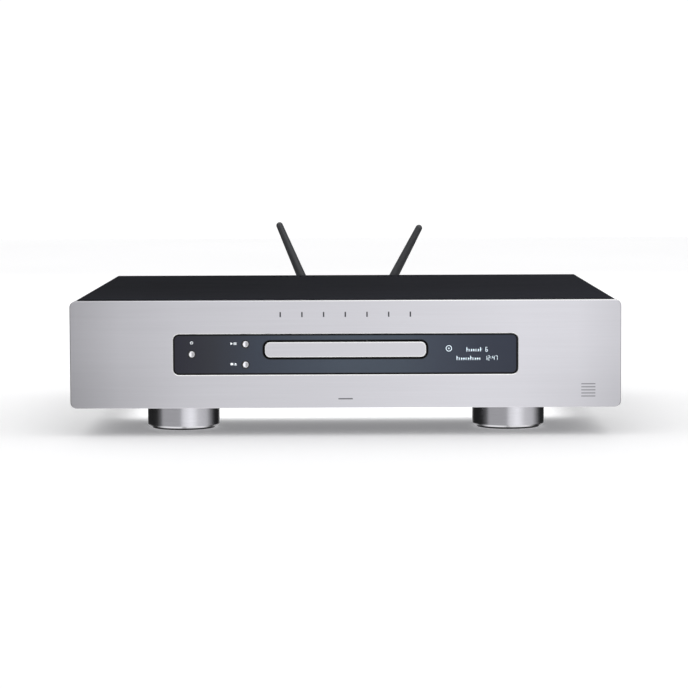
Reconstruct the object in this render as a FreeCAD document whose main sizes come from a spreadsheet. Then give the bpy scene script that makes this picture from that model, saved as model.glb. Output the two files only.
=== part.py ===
"""A full-size compact disc player, built as a FreeCAD document of separate pieces.

The sheet "Sizes" holds the driving dimensions in millimetres. +X is to the right seen from the front,
+Y to the back and +Z up. The origin is the middle of the footprint, on the shelf that the feet stand on.
A place or a size is text: an expression on the sheet's names, which FreeCAD keeps bound to the cells.
"""

import FreeCAD, Part

import math
import os
import re

import Sketcher
from FreeCAD import Matrix, Placement, Rotation, Vector

# The driving dimensions: name, value, and what it measures.
SIZES = [
    ("panel_width", 430, "front panel, side to side"),
    ("panel_height", 84.1, "front panel, bottom to top"),
    ("panel_thick", 10, "front panel, front to back"),
    ("panel_corner", 5, "radius of the front panel's corners"),
    ("panel_bevel", 0.5, "bevel round the front panel and its opening"),
    ("panel_drop", 1, "front panel below the underside of the base"),
    ("foot_height", 23, "shelf to the underside of the base"),
    ("foot_radius", 29, "turned foot"),
    ("foot_round", 1.5, "rounding at the foot's lower edge"),
    ("foot_spread", 131, "each front foot from the middle"),
    ("foot_setback", 71, "front face to the middle of the front feet"),
    ("rear_foot_inset", 60, "rear panel to the middle of the rear foot"),
    ("pad_radius", 25, "rubber pad under each foot"),
    ("pad_thick", 4, "rubber pad"),
    ("pad_proud", 1.5, "pad below the foot's metal"),
    ("case_depth", 371, "front face to the outside of the rear panel"),
    ("cover_rise", 0.8, "top cover above the front panel"),
    ("cover_width", 421, "top cover, side to side"),
    ("cover_overhang", 1, "top cover past the rear panel"),
    ("cover_sheet", 1.2, "top cover's sheet"),
    ("cover_bend", 1.6, "outside radius of the cover's bends"),
    ("base_sheet", 1.5, "sheet of the base, subframe and rear panel"),
    ("base_bend", 3, "outside radius of the base's bends"),
    ("flange_height", 18, "side flanges of the base"),
    ("sheet_gap", 0.5, "clearance between folded sheets"),
    ("flange_depth", 10, "feet of the subframe and the rear panel"),
    ("screw_radius", 2, "case screws, shank"),
    ("screw_head", 3.8, "case screws, head"),
    ("screw_gap", 0.25, "case screw in its clearance hole, all round"),
    ("screw_grip", 7, "case screw beyond the sheet it holds"),
    ("vent_width", 2.5, "vent slots"),
    ("vent_length", 34, "vent slots"),
    ("vent_pitch", 6, "vent slots"),
    ("window_side", 71.5, "tray front to the opening's ends"),
    ("window_height", 31.9, "opening in the front panel"),
    ("window_corner", 4.6, "radius of the opening's corners"),
    ("window_recess", 0.8, "window's face behind the front panel's"),
    ("window_gap", 0.35, "window in its opening, all round"),
    ("rebate_width", 3.5, "rebate round the opening"),
    ("rebate_depth", 5, "rebate, from the back of the front panel"),
    ("window_flange", 2.5, "window's flange in the rebate"),
    ("slot_gap", 1, "tray front in the window's slot, all round"),
    ("tray_rise", 3.6, "tray above the middle of the front panel"),
    ("tray_front_width", 126, "tray front"),
    ("tray_front_height", 11.9, "tray front"),
    ("tray_front_thick", 5, "tray front"),
    ("tray_front_corner", 4.2, "radius of the tray front's corners"),
    ("tray_front_bevel", 0.35, "bevel round the tray front"),
    ("tray_front_set", 0.2, "tray front behind the front panel's face"),
    ("button_radius", 2.5, "push buttons"),
    ("button_gap", 0.3, "push buttons in the window"),
    ("button_flange", 4, "push button's stop flange"),
    ("button_travel", 0.5, "push buttons"),
    ("button_set", 0.3, "button's crown behind the front panel's face"),
    ("play_gap", 15, "tray front to the play and stop buttons"),
    ("standby_gap", 42, "play button to the standby button"),
    ("button_rise", 8, "play button above and stop button below the middle"),
    ("board_thick", 1.6, "circuit boards"),
    ("module_width", 52, "display module"),
    ("module_height", 24, "display module"),
    ("module_thick", 4, "display module"),
    ("module_gap", 13, "tray front to the display module"),
    ("front_board_height", 40, "boards behind the buttons and the display"),
    ("button_board_width", 60, "board behind the buttons"),
    ("button_board_gap", 24, "play button to the middle of its board"),
    ("display_board_width", 62, "board behind the display"),
    ("front_board_inset", 4, "front boards' spacers from the boards' ends"),
    ("front_board_rise", 17.3, "front boards' spacers from the panel's middle"),
    ("disc_setback", 70, "front face to the disc's axis"),
    ("disc_radius", 60.75, "tray's well for a 120 mm disc"),
    ("small_disc_radius", 40.5, "tray's well for an 80 mm disc"),
    ("tray_inset", 0.5, "disc tray inside its front, each side"),
    ("tray_thick", 6, "disc tray"),
    ("tray_drop", 4.9, "tray's underside below its middle line"),
    ("tray_length", 172, "disc tray, behind its front"),
    ("tray_slot", 42, "slot for the turntable and the pickup"),
    ("well_depth", 2.5, "120 mm well"),
    ("small_well_depth", 4, "80 mm well, from the tray's top"),
    ("tray_clear", 0.3, "tray to its ledges and walls"),
    ("rack_line", 50, "pitch line of the tray's rack from the middle"),
    ("rack_depth", 1.7, "tray's rack below the tray"),
    ("frame_wall", 2.6, "walls of the loader frame"),
    ("frame_front", 16, "front face to the loader frame"),
    ("frame_length", 168, "loader frame"),
    ("frame_above", 8.1, "loader frame above the tray's middle line"),
    ("frame_below", 33, "loader frame below the tray's middle line"),
    ("deck_drop", 16.4, "top of the gear deck below the tray's middle line"),
    ("deck_thick", 2.5, "gear deck"),
    ("deck_length", 35, "gear deck"),
    ("gear_line", 34, "front face to the axes of the loading gears"),
    ("gear_pin", 1.5, "radius of the gears' pins"),
    ("running_gap", 0.06, "shaft in a bore, all round"),
    ("backlash", 0.22, "gear teeth, across the pitch line"),
    ("belt_side", 1.2, "square drive belt"),
    ("pulley_radius", 13, "large pulley"),
    ("motor_pulley_radius", 4, "small pulley"),
    ("groove_depth", 1.4, "pulleys' grooves"),
    ("motor_x", -22, "loading motor from the middle"),
    ("motor_radius", 12, "loading motor"),
    ("motor_height", 20, "loading motor"),
    ("hinge_line", 170, "front face to the tilt frame's hinge"),
    ("hinge_drop", 17.9, "tilt frame's hinge below the tray's middle line"),
    ("hinge_pin", 2, "radius of the tilt frame's hinge pins"),
    ("tilt_width", 112, "tilt frame"),
    ("tilt_thick", 3, "tilt frame"),
    ("tilt_front", 56.5, "front face to the tilt frame"),
    ("tilt_rail", 10, "tilt frame's rails"),
    ("lift_pin", 1.5, "radius of the tilt frame's lifting pins"),
    ("lift_pin_x", 20, "lifting pins from the middle"),
    ("lift_drop", 9, "travel of the lifting pins"),
    ("cam_travel", 20, "cam slider, sideways"),
    ("cam_front", 51.7, "front face to the cam slider's plate"),
    ("cam_thick", 2, "cam slider's plate"),
    ("traverse_drop", 13.9, "traverse plate's top below the tray's middle line"),
    ("traverse_thick", 1.5, "traverse plate"),
    ("traverse_width", 112, "traverse plate"),
    ("traverse_length", 100, "traverse plate"),
    ("traverse_front", 62, "front face to the traverse plate"),
    ("rod_radius", 1.5, "pickup's guide rods"),
    ("rod_x", 19, "guide rods from the middle"),
    ("rod_rise", 4.5, "guide rods above the traverse plate"),
    ("pickup_inner", 24, "lens to the disc's axis, at rest"),
    ("sled_length", 28, "pickup sled"),
    ("sled_gear_line", 124, "front face to the sled gear"),
    ("sled_rack_line", 26, "pitch line of the sled's rack from the middle"),
    ("platter_radius", 15, "turntable"),
    ("platter_rise", 0.3, "turntable's face below the tray's middle line"),
    ("clamp_gap", 0.4, "clamper's flange above its bridge"),
    ("board_line", 188, "front face to the power board"),
    ("board_step", 4, "main board behind the front of the power board"),
    ("board_end", 27, "boards to the outside of the rear panel"),
    ("post_inset", 6, "board standoffs from the boards' edges"),
    ("post_height", 8, "board standoffs"),
    ("post_radius", 3, "board standoffs"),
    ("coil_radius", 45, "toroidal transformer"),
    ("coil_hole", 14, "toroidal transformer"),
    ("coil_height", 38, "toroidal transformer"),
    ("coil_gap", 29.5, "loader frame to the transformer"),
    ("coil_line", 120, "front face to the transformer's axis"),
    ("inlet_x", -165, "mains inlet from the middle"),
    ("switch_x", -124, "mains switch from the middle"),
    ("mains_rise", 50, "mains inlet and switch above the shelf"),
    ("phono_radius", 4.15, "outside of a phono jack's barrel"),
    ("phono_length", 9, "phono jack's barrel"),
    ("antenna_x", 30, "antenna from the middle"),
    ("antenna_rise", 78, "antenna's pivot above the shelf"),
    ("antenna_pivot", 21, "rear panel to the antenna's pivot"),
    ("antenna_root", 4.6, "radius of the antenna's root"),
    ("antenna_tip", 3.1, "radius of the antenna's tip"),
    ("antenna_length", 83.5, "antenna's pivot to its tip"),
    ("left_lean", 23, "left antenna from upright, in degrees"),
    ("right_lean", 27.8, "right antenna from upright, in degrees"),
]
SIZE_NAMES = {name for name, _, _ in SIZES}

# Places that several pieces share, as expressions.
FRONT = "(-(case_depth + antenna_pivot + antenna_root) / 2)"
BACK = f"({FRONT} + case_depth)"
PANEL_BACK = f"({FRONT} + panel_thick)"
PANEL_FOOT = "(foot_height - panel_drop)"
PANEL_MIDDLE = f"({PANEL_FOOT} + panel_height / 2)"
COVER_TOP = f"({PANEL_FOOT} + panel_height + cover_rise)"
BASE_TOP = "(foot_height + base_sheet)"
BASE_WIDTH = "(cover_width - 2 * cover_sheet - 2 * sheet_gap)"
TRAY_MIDDLE = f"({PANEL_MIDDLE} + tray_rise)"
TRAY_BOTTOM = f"({TRAY_MIDDLE} - tray_drop)"
TRAY_TOP = f"({TRAY_BOTTOM} + tray_thick)"
TRAY_START = f"({FRONT} + tray_front_set + tray_front_thick)"
DISC_LINE = f"({FRONT} + disc_setback)"
DECK_TOP = f"({TRAY_MIDDLE} - deck_drop)"
GEAR_LINE = f"({FRONT} + gear_line)"
HINGE_LINE = f"({FRONT} + hinge_line)"
HINGE_RISE = f"({TRAY_MIDDLE} - hinge_drop)"
TRAVERSE_TOP = f"({TRAY_MIDDLE} - traverse_drop)"
BOARD_BOTTOM = f"({BASE_TOP} + post_height)"
BOARD_TOP = f"({BOARD_BOTTOM} + board_thick)"
WINDOW_WIDTH = "(tray_front_width + 2 * window_side)"
PLAY_X = "(-tray_front_width / 2 - play_gap)"
STANDBY_X = f"({PLAY_X} - standby_gap)"
BUTTON_BOARD_X = f"({PLAY_X} - button_board_gap)"
MODULE_X = "(tray_front_width / 2 + module_gap + module_width / 2)"
TRAY_WIDTH = "(tray_front_width - 2 * tray_inset)"
FRAME_INSIDE = f"({TRAY_WIDTH} / 2 + tray_clear + 0.1)"
FRAME_OUTSIDE = f"({FRAME_INSIDE} + frame_wall)"
COIL_X = f"(-{FRAME_OUTSIDE} - coil_gap - coil_radius)"
CASE_SCREW_RISE = "(foot_height + flange_height * 0.6)"
POWER_BOARD_Y = f"({FRONT} + board_line)"
MAIN_BOARD_Y = f"({FRONT} + board_line + board_step)"

# Teeth of the gears: the module in millimetres and the number of teeth.
RACK_MODULE = 1.0
DRIVE_TEETH = 24
STEP_MODULE = 0.8
STEP_TEETH = 36
PULLEY_TEETH = 12
SLED_MODULE = 0.6
SLED_TEETH = 16
SLED_WHEEL_MODULE = 0.5
SLED_WHEEL_TEETH = 40
SLED_PINION_TEETH = 10
PRESSURE_ANGLE = math.radians(20)
ADDENDUM = 1.0
DEDENDUM = 1.25

doc = FreeCAD.newDocument("disc_player")
sheet = doc.addObject("Spreadsheet::Sheet", "Sizes")
parts = []
shared = {
    "chassis_screws": [],
    "standoffs": [],
    "front_boards": [],
    "board_parts": [],
    "board_metalwork": [],
}


def fill_sheet():
    """Writes each driving dimension to its own row: what it is, and its value under its alias."""
    for row, (name, value, meaning) in enumerate(SIZES, start=1):
        sheet.set(f"A{row}", meaning)
        sheet.set(f"B{row}", str(value))
        sheet.setAlias(f"B{row}", name)
    doc.recompute()


def formula(text):
    """The expression with each size's name pointed at its cell."""
    return re.sub(r"[a-z_]+", lambda m: f"Sizes.{m[0]}" if m[0] in SIZE_NAMES else m[0], str(text))


def number(text):
    """What an expression comes to, in millimetres or degrees."""
    return float(sheet.evalExpression(formula(text)))


def bind(thing, prop, text):
    """Ties a property to an expression."""
    thing.setExpression(prop, formula(text))


def place(thing, x="0", y="0", z="0"):
    """Ties a thing's place to three expressions."""
    for axis, text in zip("xyz", (x, y, z)):
        bind(thing, f"Placement.Base.{axis}", text)


def keep(thing, label):
    """Names a finished piece, which is then written to a file of that name."""
    thing.Label = label
    parts.append(thing)
    return thing


# ---- Part Design ----------------------------------------------------------------------------------


def new_body(label, x="0", y="0", z="0", kept=True):
    """An empty body with its own origin at the place given, kept as a piece unless it joins a group."""
    body = doc.addObject("PartDesign::Body", label)
    place(body, x, y, z)
    return keep(body, label) if kept else body


def sketch_on(body, role, lift="0"):
    """A sketch on one of the body's origin planes, lifted along the plane's normal."""
    sketch = body.newObject("Sketcher::SketchObject", body.Name + "_sketch")
    plane = next(f for f in body.Origin.OriginFeatures if f.Role == role)
    sketch.AttachmentSupport = [(plane, "")]
    sketch.MapMode = "FlatFace"
    bind(sketch, "AttachmentOffset.Base.z", lift)
    return sketch


def dimension(sketch, kind, geometry, text):
    """A dimension whose value is an expression."""
    index = sketch.addConstraint(Sketcher.Constraint(kind, *geometry, number(text)))
    bind(sketch, f"Constraints[{index}]", text)


def locate(sketch, geometry, point, x, y):
    """Holds one point of a shape at x, y from the sketch's origin."""
    dimension(sketch, "DistanceX", (-1, 1, geometry, point), x)
    dimension(sketch, "DistanceY", (-1, 1, geometry, point), y)


def draw_circle(sketch, radius, x="0", y="0"):
    """A circle with its middle at x, y."""
    centre = Vector(number(x), number(y), 0)
    index = sketch.addGeometry(Part.Circle(centre, Vector(0, 0, 1), number(radius)), False)
    dimension(sketch, "Radius", (index,), radius)
    locate(sketch, index, 3, x, y)


def draw_polygon(sketch, points):
    """A closed outline of straight lines through points, each a pair of expressions."""
    at = [Vector(number(x), number(y), 0) for x, y in points]
    first = sketch.GeometryCount
    for start, end in zip(at, at[1:] + at[:1]):
        sketch.addGeometry(Part.LineSegment(start, end), False)
    for index in range(len(at)):
        following = first + (index + 1) % len(at)
        sketch.addConstraint(Sketcher.Constraint("Coincident", first + index, 2, following, 1))
    for index, (x, y) in enumerate(points):
        locate(sketch, first + index, 1, x, y)


def draw_rectangle(sketch, width, height, x="0", y="0"):
    """A rectangle with its middle at x, y."""
    left, right = f"{x} - ({width}) / 2", f"{x} + ({width}) / 2"
    low, high = f"{y} - ({height}) / 2", f"{y} + ({height}) / 2"
    draw_polygon(sketch, [(left, low), (right, low), (right, high), (left, high)])


def draw_rounded(sketch, width, height, radius, x="0", y="0"):
    """A rectangle with round corners and its middle at x, y."""
    half_w, half_h, r = number(width) / 2, number(height) / 2, number(radius)
    middle = Vector(number(x), number(y), 0)
    first = sketch.GeometryCount
    flats = [
        ((-half_w + r, half_h), (half_w - r, half_h)),
        ((half_w, half_h - r), (half_w, -half_h + r)),
        ((half_w - r, -half_h), (-half_w + r, -half_h)),
        ((-half_w, -half_h + r), (-half_w, half_h - r)),
    ]
    for start, end in flats:
        sketch.addGeometry(Part.LineSegment(middle + Vector(*start), middle + Vector(*end)), False)
    corners = [(1, 1, 0), (1, -1, -90), (-1, -1, 180), (-1, 1, 90)]
    for side, level, turn in corners:
        centre = middle + Vector(side * (half_w - r), level * (half_h - r), 0)
        arc = Part.Circle(centre, Vector(0, 0, 1), r)
        start = math.radians(turn)
        sketch.addGeometry(Part.ArcOfCircle(arc, start, start + math.pi / 2), False)
    for flat in range(4):
        arc, following = first + 4 + flat, first + (flat + 1) % 4
        sketch.addConstraint(Sketcher.Constraint("Tangent", first + flat, 2, arc, 2))
        sketch.addConstraint(Sketcher.Constraint("Tangent", arc, 1, following, 1))
        direction = "Vertical" if flat % 2 else "Horizontal"
        sketch.addConstraint(Sketcher.Constraint(direction, first + flat))
    for arc in range(first + 5, first + 8):
        sketch.addConstraint(Sketcher.Constraint("Equal", first + 4, arc))
    dimension(sketch, "Radius", (first + 4,), radius)
    dimension(sketch, "DistanceX", (first + 3, 1, first + 1, 1), width)
    dimension(sketch, "DistanceY", (first + 2, 1, first, 1), height)
    dimension(sketch, "DistanceX", (-1, 1, first + 3, 1), f"{x} - ({width}) / 2")
    dimension(sketch, "DistanceY", (-1, 1, first + 2, 1), f"{y} - ({height}) / 2")


def pad(body, sketch, length, reverse=False):
    """Raises a sketch into a solid, along the plane's normal or against it."""
    feature = body.newObject("PartDesign::Pad", body.Name + "_pad")
    feature.Profile = sketch
    feature.Reversed = reverse
    bind(feature, "Length", length)
    return feature


def pocket(body, sketch, depth, reverse=False, both_ways=False):
    """Cuts a sketch into the solid, against the plane's normal or along it, and proves that it cut."""
    doc.recompute()
    before = body.Shape.Volume
    feature = body.newObject("PartDesign::Pocket", body.Name + "_pocket")
    feature.Profile = sketch
    feature.Reversed = reverse
    feature.Midplane = both_ways
    bind(feature, "Length", depth)
    doc.recompute()
    if body.Shape.Volume > before - 1e-6:
        raise RuntimeError(f"{body.Label}: {feature.Name} cuts nothing")
    return feature


def repeat(body, feature, axis, length, count):
    """Copies a feature along one of the body's axes, from its own place to the length given."""
    pattern = body.newObject("PartDesign::LinearPattern", body.Name + "_row")
    pattern.Originals = [feature]
    line = next(f for f in body.Origin.OriginFeatures if f.Role == axis)
    pattern.Direction = (line, [""])
    bind(pattern, "Length", length)
    pattern.Occurrences = count
    body.Tip = pattern
    return pattern


def finish_edges(body, kind, size, wanted):
    """Fillets or chamfers the edges that wanted() picks, in the body's own frame."""
    doc.recompute()
    base = body.Tip
    names = [f"Edge{i}" for i, edge in enumerate(base.Shape.Edges, start=1) if wanted(edge)]
    feature = body.newObject(f"PartDesign::{kind}", f"{body.Name}_{kind.lower()}")
    feature.Base = (base, names)
    bind(feature, "Radius" if kind == "Fillet" else "Size", size)
    return feature


def lies_at(edge, axis, value):
    """Whether an edge lies wholly in the plane where its x, y or z has the value."""
    low = getattr(edge.BoundBox, axis.upper() + "Min")
    high = getattr(edge.BoundBox, axis.upper() + "Max")
    return abs(low - value) < 1e-3 and abs(high - value) < 1e-3


def turned(label, profile, x="0", y="0", z="0", along="Z", kept=True):
    """A body turned about its own Z or Y axis. The profile's points are (radius, distance along)."""
    body = new_body(label, x, y, z, kept)
    sketch = sketch_on(body, "XZ_Plane" if along == "Z" else "XY_Plane")
    draw_polygon(sketch, profile)
    turn = body.newObject("PartDesign::Revolution", label + "_turn")
    turn.Profile = sketch
    turn.ReferenceAxis = (sketch, ["V_Axis"])
    turn.Angle = 360
    return body


# ---- Part primitives and booleans -----------------------------------------------------------------


def box(length, width, height, x, y, z, name="block"):
    """A block of that size along X, Y and Z, with its lowest corner at x, y, z."""
    thing = doc.addObject("Part::Box", name)
    for prop, text in zip(("Length", "Width", "Height"), (length, width, height)):
        bind(thing, prop, text)
    place(thing, x, y, z)
    return thing


def block(length, width, height, x, y, z, name="block"):
    """A block whose middle is at x along X, and whose lowest corner is at y and z."""
    return box(length, width, height, f"{x} - ({length}) / 2", y, z, name)


TURNS = {
    "Z": Rotation(),
    "Y": Rotation(Vector(1, 0, 0), -90),
    "X": Rotation(Vector(0, 1, 0), 90),
}


def cylinder(radius, height, x, y, z, along="Z", name="round"):
    """A cylinder that starts at x, y, z and runs along an axis."""
    thing = doc.addObject("Part::Cylinder", name)
    thing.Placement = Placement(Vector(), TURNS[along])
    bind(thing, "Radius", radius)
    bind(thing, "Height", height)
    place(thing, x, y, z)
    return thing


def cone(start_radius, end_radius, height, x, y, z, along="Z"):
    """A cone that starts at x, y, z and runs along an axis."""
    thing = doc.addObject("Part::Cone", "taper")
    thing.Placement = Placement(Vector(), TURNS[along])
    for prop, text in zip(("Radius1", "Radius2", "Height"), (start_radius, end_radius, height)):
        bind(thing, prop, text)
    place(thing, x, y, z)
    return thing


def ball(radius, x, y, z):
    """A ball with its middle at x, y, z."""
    thing = doc.addObject("Part::Sphere", "ball")
    bind(thing, "Radius", radius)
    place(thing, x, y, z)
    return thing


def fuse(*things, name="joined"):
    """One solid of several that touch."""
    thing = doc.addObject("Part::MultiFuse", name)
    thing.Shapes = list(things)
    thing.Refine = True
    return thing


def cut(base, *tools, name="cut"):
    """The base without the tools."""
    thing = doc.addObject("Part::Cut", name)
    thing.Base = base
    thing.Tool = tools[0] if len(tools) == 1 else fuse(*tools, name="tools")
    thing.Refine = True
    return thing


def group(label, things):
    """Separate solids that share one node, kept as a piece."""
    thing = doc.addObject("Part::Compound", label)
    thing.Links = list(things)
    return keep(thing, label)


def shaped(label, shape, x="0", y="0", z="0"):
    """A piece whose shape is worked out here from the sheet's values, at a place tied to the sheet."""
    thing = doc.addObject("Part::Feature", label)
    thing.Shape = shape
    place(thing, x, y, z)
    return thing


# ---- Gears, racks and belts -----------------------------------------------------------------------


def involute_flank(base, start, end, steps=6):
    """Points of an involute of a circle of radius base, from radius start to radius end."""
    points = []
    for step in range(steps + 1):
        radius = start + (end - start) * step / steps
        roll = math.sqrt(max((radius / base) ** 2 - 1, 0))
        angle = roll - math.atan(roll)
        points.append(Vector(radius * math.cos(angle), radius * math.sin(angle), 0))
    return points


def turned_points(points, angle, mirror=False):
    """Points turned about the origin, after a flip about the X axis if asked."""
    turn = Rotation(Vector(0, 0, 1), math.degrees(angle))
    flipped = [Vector(p.x, -p.y, 0) if mirror else p for p in points]
    return [turn.multVec(p) for p in flipped]


def gear(module, teeth, thick, bore, turn=0.0):
    """A spur gear on the XY plane. A tooth is centred on the angle turn, in radians, from +X."""
    pitch = module * teeth / 2
    base = pitch * math.cos(PRESSURE_ANGLE)
    tip = pitch + module * ADDENDUM
    root = pitch - module * DEDENDUM
    start = max(base, root)
    involute = math.tan(PRESSURE_ANGLE) - PRESSURE_ANGLE
    half_tooth = math.pi / 2 / teeth - number("backlash") / 2 / pitch + involute
    rising = involute_flank(base, start, tip)
    edges = []
    for tooth in range(teeth):
        middle = turn + 2 * math.pi * tooth / teeth
        right = turned_points(rising, middle - half_tooth)
        left = turned_points(rising, middle + half_tooth, mirror=True)
        foot_right = right[0] * (root / start)
        foot_left = left[0] * (root / start)
        following = turned_points([rising[0]], middle + 2 * math.pi / teeth - half_tooth)[0]
        next_foot = following * (root / start)
        crown = Vector(tip * math.cos(middle), tip * math.sin(middle), 0)
        gap = middle + math.pi / teeth
        valley = Vector(root * math.cos(gap), root * math.sin(gap), 0)
        if start > root + 1e-6:
            edges.append(Part.LineSegment(foot_right, right[0]).toShape())
        edges.append(Part.BSplineCurve(right).toShape())
        edges.append(Part.Arc(right[-1], crown, left[-1]).toShape())
        edges.append(Part.BSplineCurve(list(reversed(left))).toShape())
        if start > root + 1e-6:
            edges.append(Part.LineSegment(left[0], foot_left).toShape())
        edges.append(Part.Arc(foot_left, valley, next_foot).toShape())
    outline = Part.Wire(Part.__sortEdges__(edges))
    solid = Part.Face(outline).extrude(Vector(0, 0, thick))
    return solid.cut(Part.makeCylinder(bore, thick + 2, Vector(0, 0, -1)))


def rack(module, count, thick, back):
    """A rack along +Y with its pitch line on X = 0 and its teeth towards -X. The first tooth is at Y = 0."""
    pitch = math.pi * module
    half = pitch / 4 - number("backlash") / 2
    tip = half - module * ADDENDUM * math.tan(PRESSURE_ANGLE)
    foot = half + module * DEDENDUM * math.tan(PRESSURE_ANGLE)
    points = [Vector(back, -pitch / 2, 0), Vector(module * DEDENDUM, -pitch / 2, 0)]
    for tooth in range(count):
        at = tooth * pitch
        points += [
            Vector(module * DEDENDUM, at - foot, 0),
            Vector(-module * ADDENDUM, at - tip, 0),
            Vector(-module * ADDENDUM, at + tip, 0),
            Vector(module * DEDENDUM, at + foot, 0),
        ]
    end = (count - 0.5) * pitch
    points += [Vector(module * DEDENDUM, end, 0), Vector(back, end, 0), points[0]]
    return Part.Face(Part.makePolygon(points)).extrude(Vector(0, 0, thick))


def loop_face(start, start_radius, end, end_radius):
    """The face inside a band pulled tight round two circles on the XY plane."""
    line = end - start
    lean = math.acos((start_radius - end_radius) / line.Length)
    along = math.atan2(line.y, line.x)

    def rim(centre, radius, angle):
        return centre + Vector(radius * math.cos(angle), radius * math.sin(angle), 0)

    high_start, high_end = (rim(c, r, along + lean) for c, r in ((start, start_radius), (end, end_radius)))
    low_start, low_end = (rim(c, r, along - lean) for c, r in ((start, start_radius), (end, end_radius)))
    edges = [
        Part.LineSegment(high_start, high_end).toShape(),
        Part.Arc(high_end, rim(end, end_radius, along), low_end).toShape(),
        Part.LineSegment(low_end, low_start).toShape(),
        Part.Arc(low_start, rim(start, start_radius, along + math.pi), high_start).toShape(),
    ]
    return Part.Face(Part.Wire(edges))


# ---- Case -----------------------------------------------------------------------------------------


def upright_screws(label, places, z, radius, head, length, head_height="2", down=True):
    """Adds screws along Z at (x, y) places to a shared node. z is the heads' seat; shanks run down or up."""
    screws = []
    for x, y in places:
        top = z if down else f"{z} - ({head_height})"
        start = f"{z} - ({length})" if down else z
        cap = cylinder(head, head_height, x, y, top)
        slot_z = f"{z} + ({head_height}) * 0.55" if down else f"{z} - ({head_height})"
        slot_deep = f"({head_height}) * 0.45"
        slot = block(f"1.1 * {head}", "0.9", slot_deep, x, f"{y} - 0.45", slot_z)
        slot_across = block("0.9", f"1.1 * {head}", slot_deep, x, f"{y} - 0.55 * {head}", slot_z)
        shank = cylinder(radius, length, x, y, start)
        screws.append(cut(fuse(cap, shank), slot, slot_across))
    shared[label].extend(screws)


def make_front_panel():
    """The machined fascia: a thick plate with round corners, an opening and a rebate behind it."""
    body = new_body("front_panel", "0", FRONT, PANEL_MIDDLE)
    outline = sketch_on(body, "XZ_Plane", "-panel_thick")
    draw_rounded(outline, "panel_width", "panel_height", "panel_corner")
    pad(body, outline, "panel_thick")
    opening = sketch_on(body, "XZ_Plane")
    draw_rounded(opening, WINDOW_WIDTH, "window_height", "window_corner")
    pocket(body, opening, "panel_thick")
    rebate = sketch_on(body, "XZ_Plane", "-panel_thick")
    grown = f"{WINDOW_WIDTH} + 2 * rebate_width", "window_height + 2 * rebate_width"
    draw_rounded(rebate, *grown, "window_corner + rebate_width")
    pocket(body, rebate, "rebate_depth", reverse=True)
    holes = sketch_on(body, "XZ_Plane", "-panel_thick")
    for x, z in PANEL_SCREWS:
        draw_circle(holes, "screw_radius + 0.05", x, z)
    pocket(body, holes, "panel_thick * 0.6", reverse=True)
    finish_edges(body, "Chamfer", "panel_bevel", lambda edge: lies_at(edge, "y", 0))


PANEL_SCREWS = [
    (f"{side} * (panel_width / 2 - {inset})", f"{level} * (panel_height / 2 - 9)")
    for side in (-1, 1)
    for inset in (20, 120)
    for level in (-1, 1)
]


def make_display_window():
    """The smoked window: a boss in the fascia's opening, a flange behind, a tray slot and button holes."""
    body = new_body("display_window", "0", FRONT, PANEL_MIDDLE)
    flange = sketch_on(body, "XZ_Plane", "-(panel_thick - rebate_depth + window_flange)")
    grow = "2 * (rebate_width - window_gap)"
    radius = "window_corner + rebate_width - window_gap"
    draw_rounded(flange, f"{WINDOW_WIDTH} + {grow}", f"window_height + {grow}", radius)
    pad(body, flange, "window_flange")
    boss = sketch_on(body, "XZ_Plane", "-(panel_thick - rebate_depth)")
    shrink = "2 * window_gap"
    radius = "window_corner - window_gap"
    draw_rounded(boss, f"{WINDOW_WIDTH} - {shrink}", f"window_height - {shrink}", radius)
    pad(body, boss, "panel_thick - rebate_depth - window_recess")
    slot = sketch_on(body, "XZ_Plane")
    size = "tray_front_width + 2 * slot_gap", "tray_front_height + 2 * slot_gap"
    draw_rounded(slot, *size, "tray_front_corner + slot_gap", "0", "tray_rise")
    pocket(body, slot, "panel_thick")
    holes = sketch_on(body, "XZ_Plane")
    for x, z in BUTTONS.values():
        draw_circle(holes, "button_radius + button_gap", x, z)
    pocket(body, holes, "panel_thick")
    face = number("window_recess")
    finish_edges(body, "Chamfer", "0.35", lambda edge: lies_at(edge, "y", face))


BUTTONS = {
    "standby_button": (STANDBY_X, "0.2"),
    "play_button": (PLAY_X, "button_rise"),
    "stop_button": (PLAY_X, "-button_rise"),
}


def make_front_subframe():
    """The folded plate behind the fascia, which ties it to the base and carries the boards."""
    width = f"{BASE_WIDTH} - 2 * base_sheet - 2 * base_bend"
    body = new_body("front_subframe", "0", PANEL_BACK, BASE_TOP)
    side = sketch_on(body, "YZ_Plane", f"-({width}) / 2")
    tall = f"({PANEL_FOOT} + panel_height - 3 - {BASE_TOP})"
    corners = [
        ("0", "0"),
        ("flange_depth", "0"),
        ("flange_depth", "base_sheet"),
        ("base_sheet", "base_sheet"),
        ("base_sheet", tall),
        ("0", tall),
    ]
    draw_polygon(side, corners)
    pad(body, side, width)
    opening = sketch_on(body, "XZ_Plane")
    middle = f"({PANEL_MIDDLE} - {BASE_TOP})"
    draw_rectangle(opening, f"{WINDOW_WIDTH} - 5", "module_height + 4", "0", middle)
    for x, z in PANEL_SCREWS:
        draw_circle(opening, "screw_radius + screw_gap", x, f"{middle} + {z}")
    pocket(body, opening, "base_sheet")
    feet = sketch_on(body, "XY_Plane", "base_sheet")
    for x in BASE_SCREW_X:
        draw_circle(feet, "screw_radius + screw_gap", x, "flange_depth * 0.6")
    pocket(body, feet, "base_sheet")


BASE_SCREW_X = ["-0.42 * panel_width", "-0.14 * panel_width", "0.14 * panel_width", "0.42 * panel_width"]
FEET = {
    "left_foot": ("-foot_spread", f"({FRONT} + foot_setback)"),
    "right_foot": ("foot_spread", f"({FRONT} + foot_setback)"),
    "rear_foot": ("0", f"({BACK} - rear_foot_inset)"),
}
CASE_SCREW_Y = [f"({FRONT} + 0.32 * case_depth)", f"({FRONT} + 0.88 * case_depth)"]


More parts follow.
